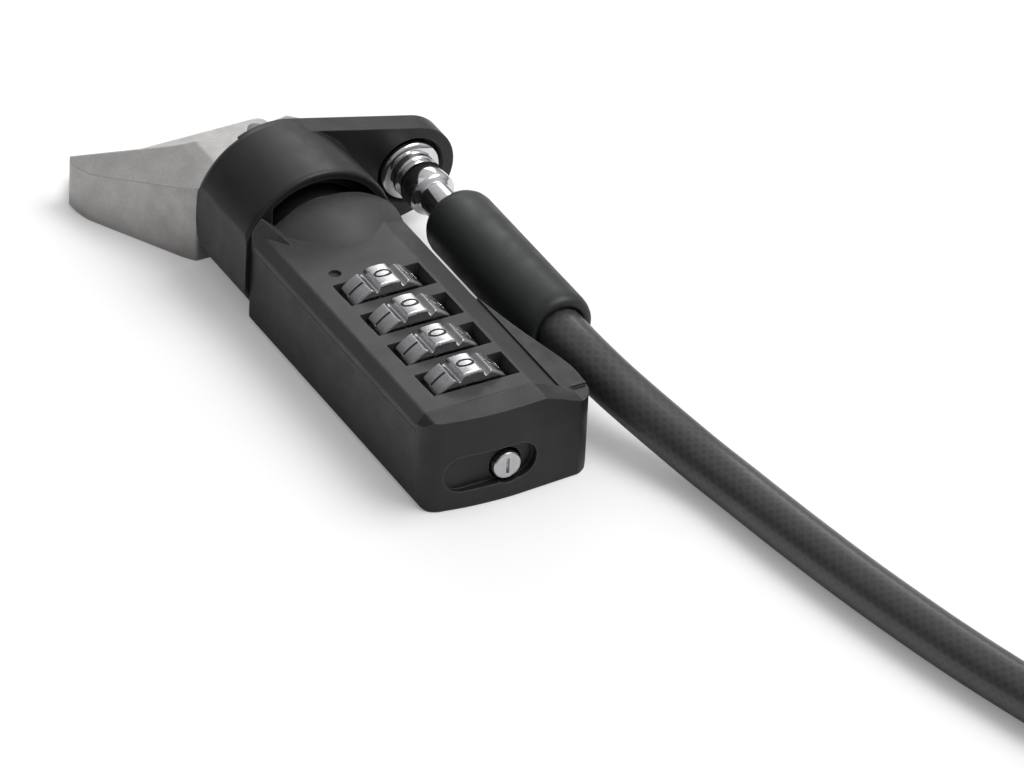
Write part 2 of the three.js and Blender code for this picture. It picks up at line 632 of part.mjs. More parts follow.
// ---- slot adapter ------------------------------------------------------------------------
function slotAdapter() {
  const { x: tipX, y: tipY } = ADAPTER_TIP;
  const bevelX = ADAPTER_FACE_X - 1.2;
  const bevelY = ADAPTER_HALF_W + 0.9;
  const outline = [
    [ADAPTER_FACE_X, -ADAPTER_HALF_W], [ADAPTER_FACE_X, ADAPTER_HALF_W], [bevelX, bevelY],
    [-6.2, 10.5], [-7.4, 10.7], [-9.5, 10.4], [tipX - 5.2, 9.2], [tipX - 5.2, -tipY + 2.6],
    [tipX - 1.6, -tipY - 0.2], [tipX, -tipY], [tipX + 1.6, -tipY + 0.4], [bevelX, -bevelY],
  ];
  // [y, z] of the wedge seen along X
  const section = [
    [-14.0, 0], [14.0, 0], [14.6, 0.8], [14.6, 4.8], [7.3, 8.4], [5.6, 9.2],
    [4.4, ADAPTER_H], [-4.4, ADAPTER_H], [-5.6, 9.2], [-7.3, 8.4], [-14.6, 4.8], [-14.6, 0.8],
  ];
  let body = slab(outline, 0, ADAPTER_H).intersect(bar(section, -30, 1));

  // notch above the tongue: a quarter round that opens out towards -X
  const pocketX = ADAPTER_FACE_X - ADAPTER_WALL;
  const round = arc(pocketX - 2.0 - CORNER_R, 0, CORNER_R, -45, 45, 10);
  const [startX, startY] = round[0];
  const [endX, endY] = round.at(-1);
  const reach = 26;
  const notch = [...round, [endX - reach, endY + reach], [startX - reach, startY - reach]];
  body = body.subtract(slab(notch, TONGUE_Z, 20));
  // the +Y wing is cut away behind x = -7.6
  body = body.subtract(box(-30, -7.6, 2, 20, TONGUE_Z, 20));

  // slot and the pocket behind it
  body = body.subtract(box(
    -6, 1, -ADAPTER_SLOT_W / 2, ADAPTER_SLOT_W / 2,
    AXIS_Z - ADAPTER_SLOT_H / 2, AXIS_Z + ADAPTER_SLOT_H / 2,
  )).subtract(rodX(2.65, -8, pocketX, 28));

  // holes in the tongue, countersunk from below
  for (const y of ADAPTER_SCREW_Y) {
    body = body.subtract(rodZ(1.15, -1, 3, ADAPTER_SCREW_X, y, 16))
      .subtract(rodZ(2.1, -0.01, 0.75, ADAPTER_SCREW_X, y, 18, 1.3));
  }
  return body;
}

function adapterScrew(y) {
  const x = ADAPTER_SCREW_X;
  return rodZ(0.85, 0.3, 3.4, x, y, 14)
    .add(rodZ(1.75, 0.12, 0.7, x, y, 18, 1.0))
    .subtract(box(x - 0.8, x + 0.8, y - 0.18, y + 0.18, -1, 0.4));
}

// ---- assembly ------------------------------------------------------------------------------
const group = new THREE.Group();
group.name = 'laptop_cable_lock';

function addPart(name, body, finish) {
  const mesh = new THREE.Mesh(geometryOf(body), new THREE.MeshStandardMaterial(finish));
  mesh.name = name;
  group.add(mesh);
}

// one numbered part for each place
function addParts(name, places, build, finish) {
  places.forEach((at, i) => addPart(`${name}_${i + 1}`, build(at), finish));
}

addPart('lower_case', lowerCase(), FINISH.lowerCase);
addPart('top_cover', topCover(), FINISH.cover);
addPart('swivel_collar', swivelCollar(), FINISH.collar);
addPart('head_plug', headPlug(), FINISH.plug);
addParts('guide_peg', PEG_Y, guidePeg, FINISH.pin);
addPart('t_bar', tBar(), FINISH.tBar);
addPart('spindle', spindle(), FINISH.spindle);
addPart('cam_pin', camPin(), FINISH.pin);
addPart('return_spring', returnSpring(), FINISH.returnSpring);
addPart('button_carrier', buttonCarrier(), FINISH.spindle);
addPart('push_button', pushButton(), FINISH.button);
DIAL_X.forEach((x, i) => {
  addPart(`dial_${i + 1}`, dial(x), FINISH.dial);
  addPart(`clutch_sleeve_${i + 1}`, clutchSleeve(x), FINISH.brass);
});
addPart('detent_spring', detentSpring(), FINISH.detentSpring);
addParts('cover_screw', COVER_SCREWS, coverScrew, FINISH.coverScrew);
addParts('plug_screw', PLUG_SCREW_Z, plugScrew, FINISH.plugScrew);
addPart('cable_fitting', cableFitting(), FINISH.fitting);
addPart('cable_ferrule', cableFerrule(), FINISH.ferrule);
const route = cableRoute();
addPart('cable', cable(route.points), FINISH.cable);
addPart('crimp_sleeve', crimpSleeve(route.crimp), FINISH.crimp);
addPart('slot_adapter', slotAdapter(), FINISH.adapter);
addParts('adapter_screw', ADAPTER_SCREW_Y, adapterScrew, FINISH.adapterScrew);

group.position.x = -ORIGIN_X;

export default group;
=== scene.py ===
"""A laptop cable lock: the looks of its barrel, dials, cable and slot adapter.

Shapes are made in millimetres. X runs along the barrel, from its slot end at x = 0 to the
nose with the push button; Z is up, with z = 0 on the bench; the barrel's axis is at y = 0.
A finished piece is moved into the row frame, in metres. The cable leaves on the +Y side,
and the slot adapter stands off the slot end, at negative x.
"""

import math

import bmesh
import bpy
import numpy as np
from mathutils import Matrix, Vector


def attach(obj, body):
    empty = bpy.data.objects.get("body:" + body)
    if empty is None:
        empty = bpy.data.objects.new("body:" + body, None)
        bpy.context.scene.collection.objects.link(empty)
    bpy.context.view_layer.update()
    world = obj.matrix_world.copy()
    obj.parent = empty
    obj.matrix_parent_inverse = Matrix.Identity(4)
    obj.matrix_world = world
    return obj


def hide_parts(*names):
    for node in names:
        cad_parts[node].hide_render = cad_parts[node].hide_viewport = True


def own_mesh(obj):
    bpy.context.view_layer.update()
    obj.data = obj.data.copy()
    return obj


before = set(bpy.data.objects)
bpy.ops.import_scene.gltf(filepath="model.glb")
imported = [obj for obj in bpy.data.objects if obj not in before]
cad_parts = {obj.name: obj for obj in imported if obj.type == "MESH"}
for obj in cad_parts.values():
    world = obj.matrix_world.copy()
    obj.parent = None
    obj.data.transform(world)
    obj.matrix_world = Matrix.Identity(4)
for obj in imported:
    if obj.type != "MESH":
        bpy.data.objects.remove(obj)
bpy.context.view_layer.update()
scene = bpy.context.scene

ROW_X = 29.0  # x of the row frame's origin
TO_ROW = Matrix.Diagonal((0.001, 0.001, 0.001, 1.0)) @ Matrix.Translation((-ROW_X, 0.0, 0.0))

AXIS_Z = 6.6  # height of the barrel's axis

# Case and cover
CASE_X0, NOSE_X = 10.9, 47.3
CASE_Y0, CASE_Y1 = -7.3, 8.3
FLARE_Y = 11.0  # the +Y flank flares out to here near the nose
SEAM_Z, TOP_Z = 8.4, 10.2
SEAM_TOP = SEAM_Z + 0.03
COVER_Z0 = SEAM_TOP + 0.03
COVER_X1 = 44.3
BORE_X0, BORE_R = 12.4, 2.9
COVER_SCREWS = ((15.2, 5.6), (15.2, -5.2))  # x, y
SCREW_HOLE_R = 0.95
BUTTON_Y, BUTTON_Z = 1.4, 3.4

# Collar, and its arm that carries the cable
COLLAR_X0, COLLAR_X1, COLLAR_R = 0.3, 10.6, 8.4
COLLAR_END = COLLAR_X1 + 0.2
ARM_Y, ARM_Z, ARM_R, ARM_T = 14.4, 6.6, 4.8, 2.5

# Number dials
DIAL_X = [23.9, 29.4, 34.9, 40.4]
DIAL_R, DIAL_W = 5.0, 3.4

# Cable
CABLE_R = 2.45
REST_Z = CABLE_R + 0.03  # height of the cable's centre where it lies on the bench
CROSS_Z = REST_Z + 1.1  # the same at the crimp
CRIMP_L = 14.0
STRAND_GAP = 5.3  # between the two cable centres inside the crimp


# ---------------------------------------------------------------- outlines
def arc(centre, radius, start, end, steps):
    """Points on an arc, angles in degrees."""
    angles = [math.radians(start + (end - start) * i / steps) for i in range(steps + 1)]
    return [(centre[0] + radius * math.cos(a), centre[1] + radius * math.sin(a)) for a in angles]


def padded(points):
    """The points as arrays, with one more mirrored past each end."""
    rows = [np.array(point, float) for point in points]
    return [2 * rows[0] - rows[1]] + rows + [2 * rows[-1] - rows[-2]]


def smooth_through(points, steps=6):
    """Catmull-Rom through 2D points, ends kept."""
    rows = padded(points)
    out = []
    for i in range(1, len(rows) - 2):
        a, b, c, d = rows[i - 1:i + 3]
        for k in range(steps):
            t = k / steps
            out.append(tuple(0.5 * ((2 * b) + (c - a) * t + (2 * a - 5 * b + 4 * c - d) * t * t
                                    + (3 * b - a - 3 * c + d) * t ** 3)))
    out.append(tuple(rows[-2]))
    return out


def rounded(points, radii, steps=6):
    """A closed outline with its corners rounded: radii is one number or one per corner."""
    count = len(points)
    if not isinstance(radii, list):
        radii = [radii] * count
    out = []
    for i, radius in enumerate(radii):
        before, corner, after = (np.array(points[(i + k) % count], float) for k in (-1, 0, 1))
        back, ahead = before - corner, after - corner
        back_len, ahead_len = np.linalg.norm(back), np.linalg.norm(ahead)
        back, ahead = back / back_len, ahead / ahead_len
        angle = math.acos(max(-1, min(1, float(back @ ahead))))
        if radius <= 0 or angle > math.radians(178):
            out.append(tuple(corner))
            continue
        trim = min(radius / math.tan(angle / 2), back_len * 0.49, ahead_len * 0.49)
        first, last = corner + back * trim, corner + ahead * trim
        for k in range(steps + 1):
            t = k / steps
            out.append(tuple((1 - t) ** 2 * first + 2 * t * (1 - t) * corner + t * t * last))
    return out


# ---------------------------------------------------------------- solids
def link_object(name, data):
    obj = bpy.data.objects.new(name, data)
    scene.collection.objects.link(obj)
    return obj


def solid(verts, faces):
    """An object from points and faces, welded, with consistent normals."""
    data = bpy.data.meshes.new("solid")
    data.from_pydata([tuple(v) for v in verts], [], faces)
    edit = bmesh.new()
    edit.from_mesh(data)
    bmesh.ops.remove_doubles(edit, verts=edit.verts, dist=1e-5)
    bmesh.ops.recalc_face_normals(edit, faces=edit.faces)
    edit.to_mesh(data)
    edit.free()
    return link_object("solid", data)


def numbered(rings):
    """Rings of points as one list of points, and rings of their numbers."""
    verts, numbers = [], []
    for ring in rings:
        numbers.append(list(range(len(verts), len(verts) + len(ring))))
        verts += ring
    return verts, numbers


def band(ring, after):
    """Quads between two rings of point numbers."""
    count = len(ring)
    return [[ring[i], ring[(i + 1) % count], after[(i + 1) % count], after[i]]
            for i in range(count)]


def prism(outline, start, end, place):
    count = len(outline)
    verts = [place(point, t) for t in (start, end) for point in outline]
    faces = [list(range(count))[::-1], list(range(count, 2 * count))]
    faces += band(range(count), range(count, 2 * count))
    return solid(verts, faces)


def bar(outline, x0, x1):
    """An outline of (y, z) run along X."""
    return prism(outline, x0, x1, lambda p, t: (t, p[0], p[1]))


def slab(outline, z0, z1):
    """An outline of (x, y) run up Z."""
    return prism(outline, z0, z1, lambda p, t: (p[0], p[1], t))


def box(x0, x1, y0, y1, z0, z1):
    return slab([(x0, y0), (x1, y0), (x1, y1), (x0, y1)], z0, z1)


def revolved(profile, sides, place):
    """A profile of (along, radius), closed on its axis at both ends."""
    rings = []
    for along, radius in profile:
        angles = [2 * math.pi * (i + 0.5) / sides for i in range(1 if radius < 1e-6 else sides)]
        rings.append([place(along, radius * math.cos(a), radius * math.sin(a)) for a in angles])
    verts, rings = numbered(rings)
    faces = []
    for ring, after in zip(rings, rings[1:]):
        if len(ring) == 1:
            faces += [[ring[0], after[(i + 1) % sides], after[i]] for i in range(sides)]
        elif len(after) == 1:
            faces += [[ring[i], ring[(i + 1) % sides], after[0]] for i in range(sides)]
        else:
            faces += band(ring, after)
    return solid(verts, faces)


def turned(profile, y=0.0, z=AXIS_Z, sides=96):
    """A profile of (x, radius) turned about a line parallel to X."""
    return revolved(profile, sides, lambda t, c, s: (t, y + c, z + s))


def rod_x(radius, x0, x1, y=0.0, z=AXIS_Z, sides=96, end_radius=None):
    end_radius = end_radius or radius
    return turned([(x0, 0), (x0, radius), (x1, end_radius), (x1, 0)], y, z, sides)


def rod_z(radius, z0, z1, x, y, sides=48, end_radius=None):
    end_radius = end_radius or radius
    profile = [(z0, 0), (z0, radius), (z1, end_radius), (z1, 0)]
    return revolved(profile, sides, lambda t, c, s: (x + c, y + s, t))


def evaluated_mesh(obj):
    bpy.context.view_layer.update()
    return bpy.data.meshes.new_from_object(obj.evaluated_get(bpy.context.evaluated_depsgraph_get()))


def combine(obj, others, operation):
    for other in others:
        modifier = obj.modifiers.new("boolean", "BOOLEAN")
        modifier.operation = operation
        modifier.solver = "MANIFOLD"
        modifier.object = other
    data = evaluated_mesh(obj)
    obj.modifiers.clear()
    obj.data = data
    for other in others:
        bpy.data.objects.remove(other)
    return obj


def cut(obj, *others):
    return combine(obj, others, "DIFFERENCE")


def add(obj, *others):
    return combine(obj, others, "UNION")


def common(obj, *others):
    return combine(obj, others, "INTERSECT")


def tidy(obj, flat_angle=0.4):
    """Weld, and dissolve edges between faces within flat_angle degrees."""
    edit = bmesh.new()
    edit.from_mesh(obj.data)
    bmesh.ops.remove_doubles(edit, verts=edit.verts, dist=2e-4)
    bmesh.ops.dissolve_degenerate(edit, dist=1e-4, edges=edit.edges)
    if flat_angle:
        bmesh.ops.dissolve_limit(edit, angle_limit=math.radians(flat_angle),
                                 verts=edit.verts, edges=edit.edges)
    edit.to_mesh(obj.data)
    edit.free()


def finish(obj, name, body, material, nodes=(), sharp=28, weighted=True):
    """Move a shape to the row frame, shade it and tell the frame what it stands for."""
    obj.data.transform(TO_ROW)
    obj.name = name
    obj.data.name = name
    obj.data.materials.clear()
    obj.data.materials.append(MATERIALS[material])
    for face in obj.data.polygons:
        face.material_index = 0
    obj.data.shade_smooth()
    obj.data.set_sharp_from_angle(angle=math.radians(sharp))
    if weighted:
        modifier = obj.modifiers.new("weighted", "WEIGHTED_NORMAL")
        modifier.keep_sharp = True
        modifier.weight = 60
    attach(obj, body)
    if nodes:
        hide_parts(*nodes)


# ---------------------------------------------------------------- shader helpers
def fill(tree, socket, value):
    """Link a socket to an input, or set the input to a number, vector or RGB colour."""
    if isinstance(value, bpy.types.NodeSocket):
        tree.links.new(value, socket)
    else:
        socket.default_value = (*value, 1.0) if socket.type == "RGBA" else value


def add_node(tree, kind, *values, operation=None, **named):
    """A shader node, its inputs filled in order and by name (underscores for spaces)."""
    node = tree.nodes.new("ShaderNode" + kind)
    if operation:
        node.operation = operation
    for socket, value in zip(node.inputs, values):
        fill(tree, socket, value)
    for name, value in named.items():
        fill(tree, node.inputs[name.replace("_", " ")], value)
    return node


def scaled(color, factor):
    return tuple(min(1.0, c * factor) for c in color)


class Net:
    """A material's node tree; textures are laid out in millimetres."""

    def __init__(self, name):
        self.material = bpy.data.materials.new(name)
        self.material.use_nodes = True
        self.tree = self.material.node_tree
        self.tree.nodes.clear()
        self.out = self.node("OutputMaterial")
        self.bsdf = self.node("BsdfPrincipled")
        fill(self.tree, self.out.inputs[0], self.bsdf.outputs[0])
        coordinates = self.node("TexCoord")
        self.uv = coordinates.outputs["UV"]
        self.mm = self.stretch((1000, 1000, 1000), coordinates.outputs["Object"])
        self.normal = None

    def node(self, kind, *values, **named):
        return add_node(self.tree, kind, *values, **named)

    def stretch(self, scale, source=None):
        return self.node("Mapping", Scale=scale, Vector=source or self.mm).outputs[0]

    def noise(self, scale, detail=3.0, rough=0.55, vector=None):
        return self.node("TexNoise", Scale=scale, Detail=detail, Roughness=rough,
                         Distortion=0.0, Vector=vector or self.mm).outputs["Fac"]

    def threshold(self, factor, start, full):
        """0 up to start, rising to 1 at full."""
        node = self.node("ValToRGB", Fac=factor)
        elements = node.color_ramp.elements
        elements[1].position = full
        elements.new(start).color = (0, 0, 0, 1)
        return node.outputs["Color"]

    def math(self, operation, *values, clamp=False):
        node = self.node("Math", *values, operation=operation)
        node.use_clamp = clamp
        return node.outputs[0]

    def plus(self, *values):
        return self.math("ADD", *values)

    def times(self, *values, clamp=False):
        return self.math("MULTIPLY", *values, clamp=clamp)

    def mix(self, factor, first, second):
        node = self.node("Mix")
        node.data_type = "RGBA"
        # inputs 6 and 7 are the two colours
        for socket, value in ((node.inputs["Factor"], factor), (node.inputs[6], first),
                              (node.inputs[7], second)):
            fill(self.tree, socket, value)
        return node.outputs[2]

    def span(self, factor, low=0.0, high=1.0):
        """The middle of a noise's range, 0.3 to 0.7, spread from low to high."""
        return self.node("MapRange", Value=factor, From_Min=0.3, From_Max=0.7,
                         To_Min=low, To_Max=high).outputs[0]

    def bevel(self, radius):
        node = self.node("Bevel", Radius=radius / 1000)
        node.samples = 6
        return node.outputs[0]

    def edge(self, radius):
        """1 along outer and inner edges, 0 on flats; radius in mm."""
        normal = self.node("NewGeometry").outputs["Normal"]
        dot = self.node("VectorMath", self.bevel(radius), normal, operation="DOT_PRODUCT")
        return self.node("MapRange", Value=dot.outputs["Value"],
                         From_Min=0.985, From_Max=0.86).outputs[0]

    def set_normal(self, socket):
        self.normal = socket
        fill(self.tree, self.bsdf.inputs["Normal"], socket)

    def round_edges(self, radius):
        self.set_normal(self.bevel(radius))

    def bump(self, height, depth, strength):
        """A bump, depth in mm, over the normal made so far."""
        node = self.node("Bump", Distance=depth / 1000, Strength=strength, Height=height)
        if self.normal is not None:
            fill(self.tree, node.inputs["Normal"], self.normal)
        self.set_normal(node.outputs[0])

    def put(self, **named):
        for name, value in named.items():
            fill(self.tree, self.bsdf.inputs[name.replace("_", " ")], value)


# ---------------------------------------------------------------- materials
def black_coat(name, dark, light, rough):
    """Satin powder coat: fine grain, faint clouding, rubbed edges, hairline scratches."""
    worn = (0.10, 0.10, 0.10)
    net = Net(name)
    fleck = net.noise(scale=2.6, detail=2)
    base = net.mix(net.span(net.noise(scale=0.16, detail=4)), dark, light)
    base = net.mix(net.span(fleck, high=0.16), base, scaled(light, 2.1))
    rubs = net.span(net.noise(scale=0.9, detail=5, rough=0.62), low=0.25, high=0.8)
    base = net.mix(net.times(net.edge(radius=0.28), rubs, clamp=True), base, worn)
    hair = net.noise(scale=1.0, detail=2, rough=0.5, vector=net.stretch((0.12, 9.0, 9.0)))
    hair_amount = 0.05
    hair = net.times(net.threshold(hair, start=0.66, full=0.72), hair_amount)
    base = net.mix(hair, base, worn)
    fleck_weight = 1.0
    roughness = net.plus(net.span(net.noise(scale=0.45, detail=4), *rough),
                         net.times(net.span(fleck, high=0.08), fleck_weight))
    net.put(Base_Color=base, Roughness=roughness, Specular_IOR_Level=0.42, Metallic=0.0)
    net.round_edges(radius=0.14)
    net.bump(net.noise(scale=7.0, detail=3, rough=0.6), depth=0.012, strength=0.55)
    net.bump(net.noise(scale=0.35, detail=2), depth=0.05, strength=0.10)
    return net.material


def metal(name, dark, light, rough=(0.2, 0.34), brush=(1.0, 14.0, 14.0), brush_depth=0.004,
          grime=0.5, edge_radius=0.2, bevel=0.08):
    """Plated or machined metal: lay of the tool marks, dulling, polished edges."""
    net = Net(name)
    lay = net.noise(scale=1.0, detail=3, rough=0.6, vector=net.stretch(brush))
    base = net.mix(net.span(net.noise(scale=0.4, detail=4, rough=0.6)), dark, light)
    base = net.mix(net.span(lay, high=0.35), base, scaled(dark, 0.72))
    dirt = net.threshold(net.noise(scale=0.8, detail=5, rough=0.7), start=0.55, full=0.75)
    # how much dirt darkens and dulls, and how much the edges shine
    dirt_tint, dirt_rough, edge_shine = 0.3, 0.22, 0.5
    base = net.mix(net.times(dirt, dirt_tint * grime), base, scaled(dark, 0.35))
    edge = net.times(net.edge(edge_radius), edge_shine)
    base = net.mix(edge, base, scaled(light, 1.15))
    roughness = net.plus(net.span(net.noise(scale=0.7, detail=4), *rough),
                         net.times(net.times(dirt, dirt_rough), grime))
    net.put(Base_Color=base, Roughness=roughness, Metallic=1.0)
    net.round_edges(bevel)
    net.bump(lay, depth=brush_depth, strength=0.5)
    net.bump(net.noise(scale=3.0, detail=3), depth=0.004, strength=0.4)
    return net.material


def black_ink():
    net = Net("black_ink")
    base = net.mix(net.span(net.noise(scale=3.0, detail=3)),
                   (0.008, 0.008, 0.009), (0.022, 0.022, 0.023))
    roughness = net.span(net.noise(scale=5.0, detail=3), low=0.45, high=0.65)
    net.put(Base_Color=base, Roughness=roughness)
    net.bump(net.noise(scale=9.0, detail=2), depth=0.01, strength=0.5)
    return net.material


def pvc_jacket():
    """Smoke-grey PVC over a steel braid: the braid shows faintly through the jacket."""
    braid_pitch, braid_strands = 1.15, 14  # mm along the cable; strands each way around
    braid_tint, dust_tint, dust_rough = 0.30, 0.10, 0.12
    net = Net("pvc_jacket")
    split = net.node("SeparateXYZ", net.uv)
    along, around = split.outputs[0], split.outputs[1]  # mm; turns
    strands = []
    for sign in (1, -1):
        phase = net.plus(net.times(along, 2 * math.pi / braid_pitch),
                         net.times(around, sign * 2 * math.pi * braid_strands))
        strands.append(net.math("SINE", phase))
    # sine range -1..1 brought to 0..1
    weave = net.times(net.plus(net.math("MAXIMUM", *strands), 1.0), 0.5)
    base = net.mix(net.span(net.noise(scale=0.12, detail=4)),
                   (0.026, 0.0265, 0.027), (0.038, 0.0385, 0.039))
    braid = net.times(net.math("POWER", weave, 2.0), braid_tint)
    base = net.mix(braid, base, (0.085, 0.086, 0.087))
    dust = net.threshold(net.noise(scale=1.3, detail=6, rough=0.7), start=0.58, full=0.78)
    base = net.mix(net.times(dust, dust_tint), base, (0.22, 0.215, 0.21))
    roughness = net.plus(net.span(net.noise(scale=0.5, detail=4), low=0.33, high=0.45),
                         net.times(dust, dust_rough))
    net.put(Base_Color=base, Roughness=roughness, Specular_IOR_Level=0.5,
            Coat_Weight=0.25, Coat_Roughness=0.22)
    net.bump(weave, depth=0.02, strength=0.3)
    net.bump(net.noise(scale=6.0, detail=3), depth=0.01, strength=0.5)
    net.bump(net.noise(scale=0.25, detail=3), depth=0.12, strength=0.3)
    return net.material


def moulded_sleeve():
    net = Net("moulded_sleeve")
    base = net.mix(net.span(net.noise(scale=0.25, detail=4)),
                   (0.014, 0.0165, 0.0155), (0.022, 0.025, 0.0235))
    lay = net.noise(scale=1.0, detail=3, rough=0.55, vector=net.stretch((0.5, 6.0, 6.0)))
    base = net.mix(net.span(lay, high=0.25), base, (0.036, 0.040, 0.038))
    rubs = net.span(net.noise(scale=1.1, detail=4), low=0.2, high=0.9)
    edge = net.times(net.edge(radius=0.3), rubs, clamp=True)
    base = net.mix(edge, base, (0.09, 0.095, 0.092))
    roughness = net.span(net.noise(scale=0.6, detail=4), low=0.38, high=0.52)
    net.put(Base_Color=base, Roughness=roughness, Specular_IOR_Level=0.42)
    net.round_edges(radius=0.1)
    net.bump(net.noise(scale=6.5, detail=3, rough=0.6), depth=0.014, strength=0.6)
    net.bump(lay, depth=0.012, strength=0.35)
    return net.material


MATERIALS = {
    "case": black_coat("coat_case", dark=(0.008, 0.008, 0.0085), light=(0.013, 0.013, 0.0138),
                       rough=(0.34, 0.46)),
    # the cover takes the case's black coat painted about four times lighter: painted light on the
    # top face, where light falls from above
    "cover": black_coat("coat_cover_painted_lit", dark=(0.034, 0.034, 0.035), light=(0.045, 0.045, 0.046),
                        rough=(0.40, 0.52)),
    "collar": black_coat("coat_collar", dark=(0.0085, 0.0085, 0.009),
                         light=(0.0135, 0.0135, 0.0145), rough=(0.30, 0.42)),
    "nickel": metal("nickel_plate", dark=(0.52, 0.52, 0.53), light=(0.72, 0.72, 0.73)),
    "dial": metal("dial_metal", dark=(0.42, 0.42, 0.43), light=(0.60, 0.60, 0.61),
                  rough=(0.18, 0.30), brush=(0.6, 10.0, 10.0), grime=0.6),
    "brass": metal("brass_sleeve", dark=(0.52, 0.36, 0.13), light=(0.70, 0.52, 0.23),
                   rough=(0.22, 0.36)),
    "spring": metal("spring_steel", dark=(0.36, 0.36, 0.38), light=(0.52, 0.52, 0.54),
                    rough=(0.22, 0.36), brush=(6.0, 3.0, 3.0)),
    "screw": metal("black_oxide_screw", dark=(0.09, 0.09, 0.095), light=(0.17, 0.17, 0.18),
                   rough=(0.28, 0.42), brush=(8.0, 8.0, 8.0)),
    "chrome": metal("chrome_plate", dark=(0.78, 0.78, 0.79), light=(0.90, 0.90, 0.91),
                    rough=(0.05, 0.12), brush=(7.0, 1.0, 1.0), brush_depth=0.0012,
                    grime=0.25, bevel=0.05),
    "crimp": metal("crimp_alloy", dark=(0.50, 0.50, 0.51), light=(0.68, 0.68, 0.69),
                   rough=(0.28, 0.42), brush=(3.0, 3.0, 3.0)),
    "adapter": metal("adapter_alloy", dark=(0.46, 0.447, 0.437), light=(0.58, 0.565, 0.552),
                     rough=(0.50, 0.62), brush=(5.0, 0.9, 5.0), brush_depth=0.003,
                     grime=0.25, edge_radius=0.45, bevel=0.18),
    "ink": black_ink(),
    "jacket": pvc_jacket(),
    "ferrule": moulded_sleeve(),
}


# ---------------------------------------------------------------- case
def case_solid():
    """The uncut case: plan, raised nose, strip beside the cover, rounded low edge."""
    corner = arc((44.6, CASE_Y0 + 2.1), 2.1, -90, -12, 12)
    flare_corner = arc((44.3, FLARE_Y - 2.7), 2.7, 18, 90, 14)
    front = smooth_through([corner[-1], (47.1, -2.6), (NOSE_X, 1.0), (47.15, 4.6),
                            flare_corner[0]])[1:-1]
    flank = smooth_through([flare_corner[-1], (40.9, FLARE_Y - 0.05), (34, 9.5),
                            (27, CASE_Y1)])[1:]
    around_nose = corner + front + flare_corner
    case = slab([(CASE_X0, CASE_Y0)] + around_nose + flank + [(CASE_X0, CASE_Y1)], 0, SEAM_Z)

    nose_x0 = COVER_X1 + 0.06
    nose = slab([(nose_x0, CASE_Y0)] + around_nose + [(nose_x0, FLARE_Y)], SEAM_Z - 0.5, TOP_Z)
    nose_section = [(-7.6, 7.0), (11.5, 7.0), (11.0, 7.75), (5.2, TOP_Z), (-6.4, TOP_Z),
                    (-7.6, 9.05)]
    nose = common(nose, bar(rounded(nose_section, [0, 0, 0.3, 1.4, 0.5, 0.4]), 43, 49))
    case = add(case, nose)

    strip_x1, inset, root_y = COVER_X1 + 0.2, 0.06, CASE_Y1 - 0.4
    strip = slab([(27, root_y)] + [(x, y - inset) for x, y in flank[::-1]]
                 + [(strip_x1, FLARE_Y - inset), (strip_x1, root_y)],
                 SEAM_Z - 0.5, SEAM_Z + 0.25)
    strip = common(strip, box(26, strip_x1, CASE_Y1 + inset, 12, 7, 9.5))
    case = add(case, strip)
    envelope = [(0, 0), (0, 10.2), (34.6, 10.2), (44, 12.0), (50, 12.6), (50, 0)]  # x, radius
    case = common(case, turned(envelope, sides=160))
    edge_r = 0.8
    outside = ([(CASE_Y0 - 1, -1)] + arc((CASE_Y0 + edge_r, edge_r), edge_r, -90, -180, 10)
               + [(CASE_Y0 - 1, edge_r)])
    return cut(case, bar(outside, 0, 60))


def make_case():
    case = case_solid()
    # round neck into the collar, and the smaller boss in front of it
    case = add(case, common(rod_x(5.7, 6.8, 11.5, sides=128), box(6, 12, -9, 9, 0, 20)))
    case = cut(case, box(CASE_X0, 11.6, -8, 9, SEAM_TOP, 16))
    case = add(case, rod_x(4.6, 1.8, 7.5))
    case = cut(case, rod_x(BORE_R, 1, 10.9, sides=64))
    case = cut(case, *[rod_x(0.65, 1, 4.4, z=AXIS_Z + s * 3.75, sides=32) for s in (-1, 1)])
    # main bore, the narrow passage before it and the pocket in the nose
    case = cut(case, rod_x(1.8, 10, 13, sides=48))
    case = cut(case, rod_x(BORE_R, BORE_X0, 44.2, sides=72),
               box(42, 45.4, -2.0, 3.4, 1.4, 8.55))
    case = cut(case, rod_x(1.72, 44, 49, BUTTON_Y, BUTTON_Z, 64))
    # dial wells, and the groove along their +Y side
    case = cut(case, *[box(x - 1.98, x + 1.98, -5.7, 6.9, AXIS_Z - DIAL_R - 0.25, 12)
                       for x in DIAL_X])
    case = cut(case, box(21.4, 43.0, 6.0, 6.9, 2.0, 12))
    # pill-shaped recess around the button
    pill = arc((2.4, 3.9), 2.0, -90, 90, 20) + arc((-3.4, 3.9), 2.0, 90, 270, 20)
    case = cut(case, bar(pill, 46.35, 49))
    case = cut(case, *[rod_z(SCREW_HOLE_R, -1, 9, x, y, 32) for x, y in COVER_SCREWS])
    case = cut(case, *[rod_z(1.75, -1, 1.5, x, y, 40) for x, y in COVER_SCREWS])
    tidy(case)
    finish(case, "case_body", "case", "case", ["lower_case"])


